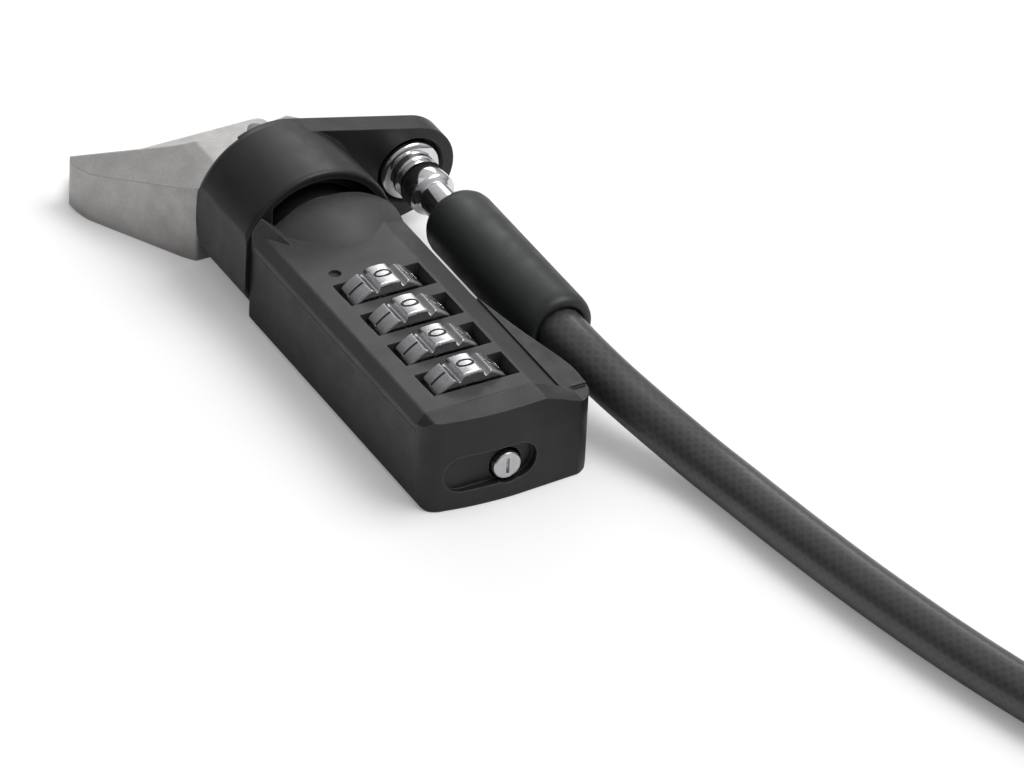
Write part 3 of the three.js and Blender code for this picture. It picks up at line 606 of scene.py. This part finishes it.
# ---------------------------------------------------------------- cover
def make_cover():
    section = [(CASE_Y0, COVER_Z0), (CASE_Y1, COVER_Z0), (5.2, TOP_Z), (-6.4, TOP_Z),
               (CASE_Y0, 9.15)]
    cover = bar(rounded(section, [0, 0.06, 1.6, 0.5, 0.35]), CASE_X0, COVER_X1)

    # swell next to the collar, dying away along a cosine
    hump_l, hump_steps = 7.7, 16
    swell = [(CASE_X0 + hump_l * k / hump_steps,
              7.4 + 1.15 * (1 + math.cos(math.pi * k / hump_steps)))
             for k in range(hump_steps + 1)]
    hump = turned([(CASE_X0, 0)] + swell + [(CASE_X0 + hump_l, 0)], 1.0, 2.6, 224)
    cover = add(cover, common(hump, box(10, 19, -6.4, CASE_Y1 - 0.02, COVER_Z0, 14)))

    # tapered shoulder on the -Y edge
    shoulder = [(CASE_Y0, COVER_Z0), (-4.7, COVER_Z0), (-4.7, 10.3), (-6.2, 11.65),
                (CASE_Y0, 12.0)]
    fairing = common(rod_x(8.15, CASE_X0, 15.0, sides=192, end_radius=5.65),
                     bar(rounded(shoulder, [0, 0, 0.5, 1.2, 0]), 10, 16))
    cover = add(cover, fairing)

    window = rounded([(-4.8, 7.5), (4.85, 7.5), (4.85, 9.0), (5.05, 11.5), (-4.25, 11.5),
                      (-4.4, 10.2), (-4.8, 9.2)], [0, 0, 0.4, 0, 0, 0.4, 0.4])
    cover = cut(cover, *[bar(window, x - 1.93, x + 1.93) for x in DIAL_X])
    cover = cut(cover, rod_x(BORE_R, BORE_X0, COVER_X1 + 1, sides=72))
    cover = cut(cover, *[rod_z(SCREW_HOLE_R, 8, 9.3, x, y, 32) for x, y in COVER_SCREWS])
    cover = cut(cover, rod_z(0.62, 9.8, 11, 20.3, -3.2, 32))  # small dimple in the top
    tidy(cover)
    finish(cover, "cover_shell", "case", "cover", ["top_cover"])


# ---------------------------------------------------------------- collar
def make_collar():
    slot_round, case_round = 1.1, 0.4  # edge radii at the two ends of the drum
    profile = arc((COLLAR_X0 + slot_round, COLLAR_R - slot_round), slot_round, 180, 90, 9)
    profile += arc((COLLAR_END - case_round, COLLAR_R - case_round), case_round, 90, 0, 6)
    collar = turned([(COLLAR_X0, 0)] + profile + [(COLLAR_END, 0)], sides=192)
    trim = rounded([(-7.8, 0), (12, 0), (12, 20), (-7.8, 20)], [0.8, 0, 0, 0])
    collar = common(collar, bar(trim, -1, 12))

    # the arm's flanks are tangent to both circles
    tangent = math.degrees(math.acos((COLLAR_R - ARM_R) / ARM_Y))
    axis, root_r, arm_x0 = (0, AXIS_Z), COLLAR_R - 0.05, COLLAR_X0 + 0.3
    outline = (arc((ARM_Y, ARM_Z), ARM_R, -tangent, tangent, 40)
               + arc(axis, root_r, tangent, tangent + 40, 8) + [(-2, AXIS_Z)]
               + arc(axis, root_r, -tangent - 20, -tangent, 5))
    collar = add(collar, bar(outline, arm_x0, arm_x0 + ARM_T))
    collar = cut(collar, box(-1, 12, -9, 30, -5, 0.0))  # flat on the bench

    # stepped bore, and a relief in the end face over the case
    collar = cut(collar, rod_x(6.3, -1, 1.8), rod_x(4.9, 0, 8))
    collar = cut(collar, rod_x(6.15, 6.5, 12, sides=128))
    above = [(-5.0, AXIS_Z + 1.5), (12, AXIS_Z + 1.5), (12, 16), (-5.0, 16)]
    collar = cut(collar, common(rod_x(7.55, 9.2, 12, sides=192), bar(above, 9, 12)))

    # eye in the arm, with a seat on each face
    collar = cut(collar, rod_x(2.3, -1, 6, ARM_Y, ARM_Z, 64))
    seat = [(1.9, 0), (1.9, 3.4), (2.7, 3.4), (3.2, 3.75), (6, 3.75), (6, 0)]  # x, radius
    collar = cut(collar, turned(seat, ARM_Y, ARM_Z))
    collar = cut(collar, rod_x(3.1, -1, 1.1, ARM_Y, ARM_Z, 64))
    tidy(collar)
    finish(collar, "collar_drum", "collar", "collar", ["swivel_collar"])


# ---------------------------------------------------------------- dials
# One tenth of a dial's rim: degrees from the middle of a notch, depth below DIAL_R.
DIAL_RIM = [(-18, 0), (-15, 0), (-12, 0), (-9, 0), (-6.4, 0.02), (-5.0, 0.12), (-3.8, 0.33),
            (-2.4, 0.55), (-0.8, 0.62), (0.8, 0.62), (2.4, 0.55), (3.8, 0.33), (5.0, 0.12),
            (6.4, 0.02), (9, 0), (12, 0), (15, 0)]
# Half of a dial's side profile: distance in from its face, height over DIAL_R.
DIAL_EDGE = [(0, -0.32), (0.10, -0.14), (0.30, 0.03)]


def dial_outline():
    points = []
    for i in range(10):
        for offset, depth in DIAL_RIM:
            angle = math.radians(i * 36 + 18 + offset + 90)
            radius = DIAL_R - depth
            points.append((radius * math.cos(angle), AXIS_Z + radius * math.sin(angle)))
    return points


def digit(number, low, high):
    """A digit wrapped on a dial centred at x = 0, from radius low to high."""
    text = bpy.data.curves.new("digit", "FONT")
    text.body = str(number)
    text.size = 2.75
    text.align_x = "CENTER"
    text.extrude = 0.5
    text.resolution_u = 4
    text.offset = 0.015
    obj = link_object("digit", text)
    data = evaluated_mesh(obj)
    bpy.data.objects.remove(obj)
    edit = bmesh.new()
    edit.from_mesh(data)
    bmesh.ops.remove_doubles(edit, verts=edit.verts, dist=1e-4)
    xs = [v.co.x for v in edit.verts]
    ys = [v.co.y for v in edit.verts]
    mid_x, mid_y = (min(xs) + max(xs)) / 2, (min(ys) + max(ys)) / 2
    for k in range(-5, 6):  # strips fine enough to bend round the rim
        bmesh.ops.bisect_plane(edit, geom=edit.verts[:] + edit.edges[:] + edit.faces[:],
                               plane_co=(0, mid_y + k * 0.22, 0), plane_no=(0, 1, 0))
    for v in edit.verts:
        angle = math.radians(90 + 36 * number) - (v.co.y - mid_y) / DIAL_R
        radius = high if v.co.z > 0 else low
        v.co = (v.co.x - mid_x, radius * math.cos(angle), AXIS_Z + radius * math.sin(angle))
    bmesh.ops.recalc_face_normals(edit, faces=edit.faces)
    wrapped = bpy.data.meshes.new("digit")
    edit.to_mesh(wrapped)
    edit.free()
    return link_object("digit", wrapped)


def make_dials():
    half = DIAL_W / 2
    profile = [(-half, 0)] + [(-half + dx, DIAL_R + dr) for dx, dr in DIAL_EDGE]
    profile += [(half - dx, DIAL_R + dr) for dx, dr in DIAL_EDGE[::-1]] + [(half, 0)]
    dial = common(bar(dial_outline(), -half, half), turned(profile, sides=144))
    dial = cut(dial, rod_x(3.7, -4, 4, sides=72))
    for i in range(10):
        dial = cut(dial, digit(i, DIAL_R - 0.15, DIAL_R + 0.4))
    tidy(dial, 0.2)
    ink_radii = DIAL_R - 0.22, DIAL_R - 0.06
    ink = digit(0, *ink_radii)
    for i in range(1, 10):
        ink = add(ink, digit(i, *ink_radii))
    for k, x in enumerate(DIAL_X, 1):
        body = f"dial_{k}"
        for source, name, material, nodes in ((dial, f"dial_ring_{k}", "dial", [body]),
                                              (ink, f"dial_digits_{k}", "ink", [])):
            obj = link_object(name, source.data.copy())
            obj.data.transform(Matrix.Translation((x, 0, 0)))
            finish(obj, name, body, material, nodes, sharp=35)
    bpy.data.objects.remove(dial)
    bpy.data.objects.remove(ink)


# ---------------------------------------------------------------- push button
BUTTON = [(45.3, 0), (45.3, 1.5), (46.72, 1.5), (46.86, 1.46), (46.96, 1.36), (47.0, 1.2),
          (47.0, 0)]  # x, radius


def make_button():
    half_w, half_h = 0.17, 0.85  # of the slot in its face
    button = turned(BUTTON, BUTTON_Y, BUTTON_Z, 72)
    button = cut(button, box(46.6, 48, BUTTON_Y - half_w, BUTTON_Y + half_w,
                             BUTTON_Z - half_h, BUTTON_Z + half_h))
    tidy(button)
    finish(button, "button_disc", "button", "nickel", ["push_button"])


# ---------------------------------------------------------------- cable end fitting and sleeve
FITTING = [  # x, radius
    (0.62, 0), (0.62, 2.1), (0.68, 2.4), (0.78, 2.58), (0.85, 2.6), (0.85, 2.0), (2.15, 2.0),
    (2.15, 3.05), (2.24, 3.17), (2.4, 3.2), (2.95, 3.2), (3.15, 3.17), (3.3, 3.08),
    (3.4, 2.95), (3.46, 2.6), (3.52, 2.42), (3.7, 2.36), (4.3, 2.36), (4.42, 2.30),
    (4.5, 2.18), (4.62, 2.18), (4.7, 2.30), (4.82, 2.38), (7.6, 2.38), (7.85, 2.32),
    (8.05, 2.18), (8.15, 1.95), (8.3, 1.8), (11.4, 1.8), (11.4, 0)]
FERRULE_X0, FERRULE_X1, FERRULE_R = 11.8, 33.6, 3.7
FERRULE_START = [  # x from FERRULE_X0, radius
    (0, 0), (0, 2.1), (0.12, 2.55), (0.4, 3.0), (0.8, 3.36), (1.3, 3.6), (1.9, FERRULE_R)]
FERRULE_FINISH = [  # x from FERRULE_X1, radius
    (-1.5, FERRULE_R), (-0.9, 3.66), (-0.45, 3.54), (-0.15, 3.34), (0, 3.05), (-0.02, 2.75),
    (-0.12, 2.6), (-0.4, 2.5), (-0.9, 2.5), (-0.9, 0)]


def make_fitting_and_ferrule():
    fitting = turned(FITTING, ARM_Y, ARM_Z, 128)
    finish(fitting, "eye_fitting", "cable_assembly", "chrome", ["cable_fitting"],
           sharp=34, weighted=False)
    profile = [(FERRULE_X0 + dx, radius) for dx, radius in FERRULE_START]
    profile += [(FERRULE_X1 + dx, radius) for dx, radius in FERRULE_FINISH]
    ferrule = turned(profile, ARM_Y, ARM_Z, 128)
    tidy(ferrule, 0)
    finish(ferrule, "ferrule_sleeve", "cable_assembly", "ferrule",
           ["cable_ferrule"], sharp=40, weighted=False)


# ---------------------------------------------------------------- cable
COIL_R, COIL_PITCH, COIL_TURNS = 54.0, 6.5, 2.5
LOOP_R, NECK_R = 12.0, 20.0  # end loop, and the bends that open and close it
CABLE_SIDES, CABLE_STEP = 28, 0.9
CABLE_START = [  # x, y, z of the centre, from inside the ferrule down to the bench
    (19.4, ARM_Y, ARM_Z), (22, ARM_Y, ARM_Z), (26, ARM_Y, ARM_Z), (30, ARM_Y, ARM_Z),
    (34, 14.42, 6.55), (38, 14.7, 6.25), (42, 15.5, 5.5), (46, 16.7, 4.5), (50, 18.0, 3.5),
    (54, 19.1, 2.8), (58, 19.95, 2.52), (62, 20.55, REST_Z), (68, 21.45, REST_Z),
    (76, 22.8, REST_Z), (83, 24.2, REST_Z), (88, 25.3, REST_Z), (93, 26.55, REST_Z)]


class Pen:
    """Draws the cable's centre line as runs of given length and curvature."""

    def __init__(self, points, x, y, z, heading):
        self.x, self.y, self.z, self.heading = x, y, z, heading
        self.points = points + [(x, y, z)]

    def run(self, length, bend, end_bend=None, end_z=None):
        end_bend = bend if end_bend is None else end_bend
        start_z = self.z
        end_z = start_z if end_z is None else end_z
        count = max(1, int(math.floor(length / 4 + 0.5)))
        step = length / (count * 8)
        for i in range(count):
            for j in range(8):
                t = (i * 8 + j + 0.5) / (count * 8)
                turn = (bend + (end_bend - bend) * t) * step
                self.heading += turn / 2
                self.x += math.cos(self.heading) * step
                self.y += math.sin(self.heading) * step
                self.heading += turn / 2
            self.points.append((self.x, self.y, start_z + (end_z - start_z) * (i + 1) / count))
        self.z = end_z


def cable_line():
    """Points on the centre line, and the x, y and heading where the crimp starts."""
    pen = Pen(CABLE_START, 99.3, 28.3, REST_Z, math.radians(16.0))
    pen.run(76, 0.0055, 1 / COIL_R)
    for degrees in range(0, int(COIL_TURNS * 360), 10):
        radius = COIL_R - COIL_PITCH * (degrees + 5) / 360
        pen.run(radius * math.pi / 18, 1 / radius)
    pen.run(36, 1 / 17, end_z=CROSS_Z)
    pen.run(5, 0)
    crimp_at = pen.x, pen.y, pen.heading
    pen.run(CRIMP_L, 0)
    neck = math.acos((NECK_R + STRAND_GAP / 2) / (NECK_R + LOOP_R))
    half_loop = LOOP_R * (math.pi / 2 + neck)
    pen.run(NECK_R * neck, -1 / NECK_R, end_z=REST_Z + 0.7)
    pen.run(half_loop, 1 / LOOP_R, end_z=REST_Z)
    pen.run(half_loop, 1 / LOOP_R, end_z=REST_Z + 0.7)
    pen.run(NECK_R * neck, -1 / NECK_R, end_z=CROSS_Z)
    pen.run(CRIMP_L - 1.5, 0)
    return pen.points, crimp_at


def centripetal(points, steps=10):
    """Centripetal Catmull-Rom through 3D points."""
    rows = padded(points)
    out = []
    for i in range(1, len(rows) - 2):
        a, b, c, d = rows[i - 1:i + 3]
        t0 = 0.0
        t1 = t0 + np.linalg.norm(b - a) ** 0.5
        t2 = t1 + np.linalg.norm(c - b) ** 0.5
        t3 = t2 + np.linalg.norm(d - c) ** 0.5
        for k in range(steps):
            t = t1 + (t2 - t1) * k / steps
            ab = (t1 - t) / (t1 - t0) * a + (t - t0) / (t1 - t0) * b
            bc = (t2 - t) / (t2 - t1) * b + (t - t1) / (t2 - t1) * c
            cd = (t3 - t) / (t3 - t2) * c + (t - t2) / (t3 - t2) * d
            abc = (t2 - t) / (t2 - t0) * ab + (t - t0) / (t2 - t0) * bc
            bcd = (t3 - t) / (t3 - t1) * bc + (t - t1) / (t3 - t1) * cd
            out.append((t2 - t) / (t2 - t1) * abc + (t - t1) / (t2 - t1) * bcd)
    out.append(rows[-2])
    return np.array(out)


def make_cable(line):
    path = centripetal(line)
    lengths = np.linalg.norm(np.diff(path, axis=0), axis=1)
    reached = np.concatenate([[0], np.cumsum(lengths)])
    total = reached[-1]
    along = np.linspace(0, total, int(total / CABLE_STEP) + 1)
    centre = np.stack([np.interp(along, reached, path[:, k]) for k in range(3)], 1)
    tangent = np.gradient(centre, axis=0)
    tangent /= np.linalg.norm(tangent, axis=1)[:, None]

    side = np.array([0.0, 1.0, 0.0])  # carried along the path, so the tube doesn't twist
    angles = [2 * math.pi * k / CABLE_SIDES for k in range(CABLE_SIDES)]
    rings = []
    for middle, ahead in zip(centre, tangent):
        side = side - ahead * (side @ ahead)
        side /= np.linalg.norm(side)
        up = np.cross(ahead, side)
        rings.append([middle + CABLE_R * (math.cos(a) * side + math.sin(a) * up)
                      for a in angles])
    verts, rings = numbered(rings)

    faces, uvs = [], []  # u is mm along the cable, v is turns around it
    for i in range(len(rings) - 1):
        faces += band(rings[i], rings[i + 1])
        u0, u1 = along[i], along[i + 1]
        for k in range(CABLE_SIDES):
            v0, v1 = k / CABLE_SIDES, (k + 1) / CABLE_SIDES
            uvs += [(u0, v0), (u0, v1), (u1, v1), (u1, v0)]

    # ends: a small lip and a flat cut
    for end, sign in ((0, -1), (-1, 1)):
        ring = rings[end]
        inner = list(range(len(verts), len(verts) + CABLE_SIDES))
        verts += [centre[end] + (verts[n] - centre[end]) * 0.86 + sign * tangent[end] * 0.25
                  for n in ring]
        for k in range(CABLE_SIDES):
            j = (k + 1) % CABLE_SIDES
            quad = [ring[k], inner[k], inner[j], ring[j]]
            faces.append(quad if sign < 0 else quad[::-1])
        faces.append(inner[::-1] if sign < 0 else inner)
        uvs += [(0, 0)] * (5 * CABLE_SIDES)

    data = bpy.data.meshes.new("cable_run")
    data.from_pydata([tuple(v) for v in verts], [], faces)
    layer = data.uv_layers.new(name="UVMap")
    layer.data.foreach_set("uv", [value for uv in uvs for value in uv])
    finish(link_object("cable_run", data), "cable_run", "cable_assembly", "jacket",
           ["cable"], sharp=50, weighted=False)


# ---------------------------------------------------------------- crimp sleeve
CRIMP_WALL = 0.75
CRIMP_END = [(0, 0.22), (0.08, 0.08), (0.25, 0)]  # distance from the end, depth
CRIMP_GROOVE = [(-0.95, 0), (-0.8, 0.04), (-0.6, 0.22), (-0.35, 0.38), (0, 0.42),
                (0.35, 0.38), (0.6, 0.22), (0.8, 0.04), (0.95, 0)]  # from its middle, depth
GROOVE_AT, GROOVE_PITCH = 4.2, 3.2


def make_crimp(start_x, start_y, heading):
    """An oval tube round both strands, made along Z and then laid along the cable."""
    inner_r = CABLE_R + 0.3
    offset = STRAND_GAP / 2
    start, end = 1.0, CRIMP_L - 1.0
    stations = [(start + dz, CRIMP_WALL - depth) for dz, depth in CRIMP_END]
    for k in range(3):
        middle = GROOVE_AT + k * GROOVE_PITCH
        stations += [(middle + dz, CRIMP_WALL - depth) for dz, depth in CRIMP_GROOVE]
    stations += [(end - dz, CRIMP_WALL - depth) for dz, depth in CRIMP_END[::-1]]
    stations += [(end, 0.02), (start, 0.02)]
    rings = []
    for z, grow in stations:
        oval = (arc((0, offset), inner_r + grow, 0, 180, 14)
                + arc((0, -offset), inner_r + grow, 180, 360, 14))
        rings.append([(x, y, z) for x, y in oval])
    verts, rings = numbered(rings)
    faces = []
    for ring, after in zip(rings, rings[1:] + rings[:1]):
        faces += band(ring, after)
    crimp = solid(verts, faces)
    c, s = math.cos(heading), math.sin(heading)
    crimp.data.transform(Matrix(((0, s, c, start_x - s * offset),
                                 (0, -c, s, start_y + c * offset),
                                 (1, 0, 0, CROSS_Z),
                                 (0, 0, 0, 1))))
    tidy(crimp, 0)
    finish(crimp, "crimp_tube", "cable_assembly", "crimp", ["crimp_sleeve"],
           sharp=40)


# ---------------------------------------------------------------- slot adapter
FACE_X, FACE_HALF, ADAPTER_H = -0.4, 7.2, 9.7
TIP_X, TIP_Y = -12.9, 13.9
ADAPTER_FLOOR = 1.6  # thickness left under the notch
NOTCH_R, NOTCH_WALL = 9.5, 2.9


def make_adapter():
    plan = [(FACE_X, -FACE_HALF), (FACE_X, FACE_HALF), (FACE_X - 1.2, FACE_HALF + 0.9),
            (-6.2, 10.5), (-7.4, 10.7), (-9.5, 10.4), (TIP_X - 5.2, 9.2),
            (TIP_X - 5.2, -TIP_Y + 2.6), (TIP_X - 1.6, -TIP_Y - 0.2), (TIP_X, -TIP_Y),
            (TIP_X + 1.6, -TIP_Y + 0.4), (FACE_X - 1.2, -FACE_HALF - 0.9)]
    plan_radii = [0.5, 0.5, 1.2, 1.0, 0.6, 1.0, 1.2, 1.2, 1.6, 1.0, 1.2, 1.2]
    adapter = slab(rounded(plan, plan_radii, 5), 0, ADAPTER_H)
    front = [(-13.9, 0), (13.9, 0), (14.6, 0.8), (14.6, 4.8), (7.3, 8.4), (5.6, 9.2),
             (4.4, ADAPTER_H), (-4.4, ADAPTER_H), (-5.6, 9.2), (-7.3, 8.4), (-14.6, 4.8),
             (-14.6, 0.8)]
    front_radii = [0.5, 0.5, 0.5, 0.8, 3.0, 1.0, 1.2, 1.2, 1.0, 3.0, 0.8, 0.5]
    adapter = common(adapter, bar(rounded(front, front_radii, 5), -30, 1))

    # open notch behind the face: an arc with flanks spreading at 45 degrees
    notch = arc((FACE_X - NOTCH_WALL - 2.0 - NOTCH_R, 0), NOTCH_R, -45, 45, 40)
    notch += [(notch[-1][0] - 26, notch[-1][1] + 26), (notch[0][0] - 26, notch[0][1] - 26)]
    adapter = cut(adapter, slab(notch, ADAPTER_FLOOR, 20))
    adapter = cut(adapter, box(-30, -7.6, 2, 20, ADAPTER_FLOOR, 20))

    # slot through the face, and a round bore behind it
    low, high = AXIS_Z - 1.25, AXIS_Z + 1.25
    slot = rounded([(-2.8, low), (2.8, low), (2.8, high), (-2.8, high)], 0.45, 5)
    adapter = cut(adapter, bar(slot, -6, 1))
    adapter = cut(adapter, rod_x(2.65, -8, FACE_X - NOTCH_WALL, sides=64))

    # two screw holes, countersunk from below
    hole_x, hole_y = -14.2, 6.5
    adapter = cut(adapter, *[rod_z(1.15, -1, 3, hole_x, s * hole_y) for s in (-1, 1)])
    adapter = cut(adapter, *[rod_z(2.1, -0.01, 0.75, hole_x, s * hole_y, end_radius=1.3)
                             for s in (-1, 1)])
    tidy(adapter)
    finish(adapter, "adapter_block", "case", "adapter", ["slot_adapter"])


# ---------------------------------------------------------------- return spring
def make_spring():
    turns, coil_r, wire_r = 4.5, 2.2, 0.28
    x0, length = 12.95, 18.3 - 12.95
    steps, sides = 150, 10
    rings = []
    for i in range(steps + 1):
        t = i / steps
        angle = 2 * math.pi * turns * t
        c, s = math.cos(angle), math.sin(angle)
        centre = np.array([x0 + length * t, coil_r * c, AXIS_Z + coil_r * s])
        radial = np.array([0, c, s])
        tangent = np.array([length / (2 * math.pi * turns), -coil_r * s, coil_r * c])
        tangent /= np.linalg.norm(tangent)
        across = np.cross(tangent, radial)
        around = [2 * math.pi * k / sides for k in range(sides)]
        rings.append([centre + wire_r * (math.cos(q) * radial + math.sin(q) * across)
                      for q in around])
    verts, rings = numbered(rings)
    faces = [rings[0][::-1]]
    for ring, after in zip(rings, rings[1:]):
        faces += band(ring, after)
    faces.append(rings[-1])
    spring = solid(verts, faces)
    finish(spring, "spring_coil", "case", "spring", ["return_spring"],
           sharp=50, weighted=False)
    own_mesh(spring)


make_case()
make_cover()
make_collar()
make_dials()
make_button()
make_fitting_and_ferrule()
centre_line, crimp_start = cable_line()
make_cable(centre_line)
make_crimp(*crimp_start)
make_adapter()
make_spring()

# ---------------------------------------------------------------- CAD nodes that keep their shape
CAD_MATERIALS = {
    "nickel": ["head_plug", "spindle", "button_carrier", "guide_peg_1", "guide_peg_2", "t_bar",
               "cam_pin"],
    "brass": ["clutch_sleeve_1", "clutch_sleeve_2", "clutch_sleeve_3", "clutch_sleeve_4"],
    "spring": ["detent_spring"],
    "screw": ["cover_screw_1", "cover_screw_2", "plug_screw_1", "plug_screw_2",
              "adapter_screw_1", "adapter_screw_2"],
}
for key, names in CAD_MATERIALS.items():
    for node_name in names:
        cad_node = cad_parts[node_name]
        if not cad_node.material_slots:
            cad_node.data.materials.append(MATERIALS[key])
        for material_slot in cad_node.material_slots:
            material_slot.material = MATERIALS[key]


# ---------------------------------------------------------------- floor
def floor_paint():
    """Pale paint, lifted nearly to white for the camera and clear from below."""
    lift = 0.21  # glow seen by camera rays only
    net = Net("floor_paint")
    base = net.mix(net.span(net.noise(scale=0.004, detail=3)),
                   (0.80, 0.80, 0.805), (0.82, 0.82, 0.82))
    net.put(Base_Color=base, Roughness=0.85, Specular_IOR_Level=0.15)
    net.bump(net.noise(scale=0.4, detail=3), depth=0.02, strength=0.15)
    seen = net.node("LightPath").outputs["Is Camera Ray"]
    glow = net.node("Emission", Color=(1.0, 1.0, 1.0), Strength=net.times(seen, lift))
    lit = net.node("AddShader", net.bsdf.outputs[0], glow.outputs[0])
    below = net.node("NewGeometry").outputs["Backfacing"]
    clear = net.node("BsdfTransparent")
    both = net.node("MixShader", below, lit.outputs[0], clear.outputs[0])
    fill(net.tree, net.out.inputs[0], both.outputs[0])
    return net.material


paint = floor_paint()
bpy.ops.mesh.primitive_plane_add(size=8.0, location=(0, 0, -0.00005))
floor = bpy.context.object
floor.name = "floor"
floor.data.materials.append(paint)


# ---------------------------------------------------------------- world and lights
def make_world():
    """A grey studio, brighter overhead and darker towards -Y."""
    world = bpy.data.worlds.new("studio")
    scene.world = world
    world.use_nodes = True
    tree = world.node_tree
    tree.nodes.clear()
    direction = add_node(tree, "TexCoord").outputs["Generated"]
    split = add_node(tree, "SeparateXYZ", direction)
    sky = add_node(tree, "ValToRGB", Fac=split.outputs["Z"])
    elements = sky.color_ramp.elements
    elements[0].color = (0.16, 0.16, 0.165, 1)
    elements[1].color = (0.95, 0.95, 0.96, 1)
    elements.new(0.3).color = (0.50, 0.50, 0.51, 1)
    side = add_node(tree, "MapRange", Value=split.outputs["Y"], From_Min=-0.8, From_Max=0.6,
                    To_Min=0.30, To_Max=1.12)
    dimmed = add_node(tree, "VectorMath", sky.outputs["Color"], operation="SCALE",
                      Scale=side.outputs["Result"])
    background = add_node(tree, "Background", Color=dimmed.outputs[0], Strength=0.88)
    add_node(tree, "OutputWorld", background.outputs[0])


def softbox(name, at, size, power):
    """An area light turned to the origin; places in metres, power in watts."""
    light = bpy.data.lights.new(name, "AREA")
    light.shape = "RECTANGLE"
    light.size, light.size_y = size
    light.energy = power
    light.color = (1, 1, 1)
    obj = link_object(name, light)
    obj.visible_camera = False
    obj.location = at
    obj.rotation_mode = "QUATERNION"
    obj.rotation_quaternion = (-Vector(at)).to_track_quat("-Z", "Y")


make_world()
softbox("key", at=(0.24, 0.45, 0.93), size=(0.8, 0.6), power=6.9)
softbox("back", at=(-0.90, 0.36, 0.52), size=(0.75, 0.30), power=1.9)
softbox("fill", at=(-0.45, -0.55, 0.90), size=(0.6, 0.6), power=0.35)

# ---------------------------------------------------------------- camera
CAMERA_AT = (0.69066213, -0.39400308, 0.56014417)  # metres
CAMERA_RIGHT = Vector((0.480834072, 0.875817806, 0.041734468))
CAMERA_BACK = Vector((0.705803024, -0.414857023, 0.574226212))  # away from the view

camera_data = bpy.data.cameras.new("camera")
camera = link_object("camera", camera_data)
camera_up = CAMERA_BACK.cross(CAMERA_RIGHT)
turn = Matrix((CAMERA_RIGHT, camera_up, CAMERA_BACK)).transposed()
camera.matrix_world = Matrix.Translation(CAMERA_AT) @ turn.to_4x4()
camera_data.sensor_fit = "HORIZONTAL"
camera_data.sensor_width = 36.0
camera_data.lens = 356.711608
camera_data.clip_start = 0.01
camera_data.clip_end = 20.0
scene.camera = camera

scene.view_settings.view_transform = "Standard"
scene.view_settings.look = "None"
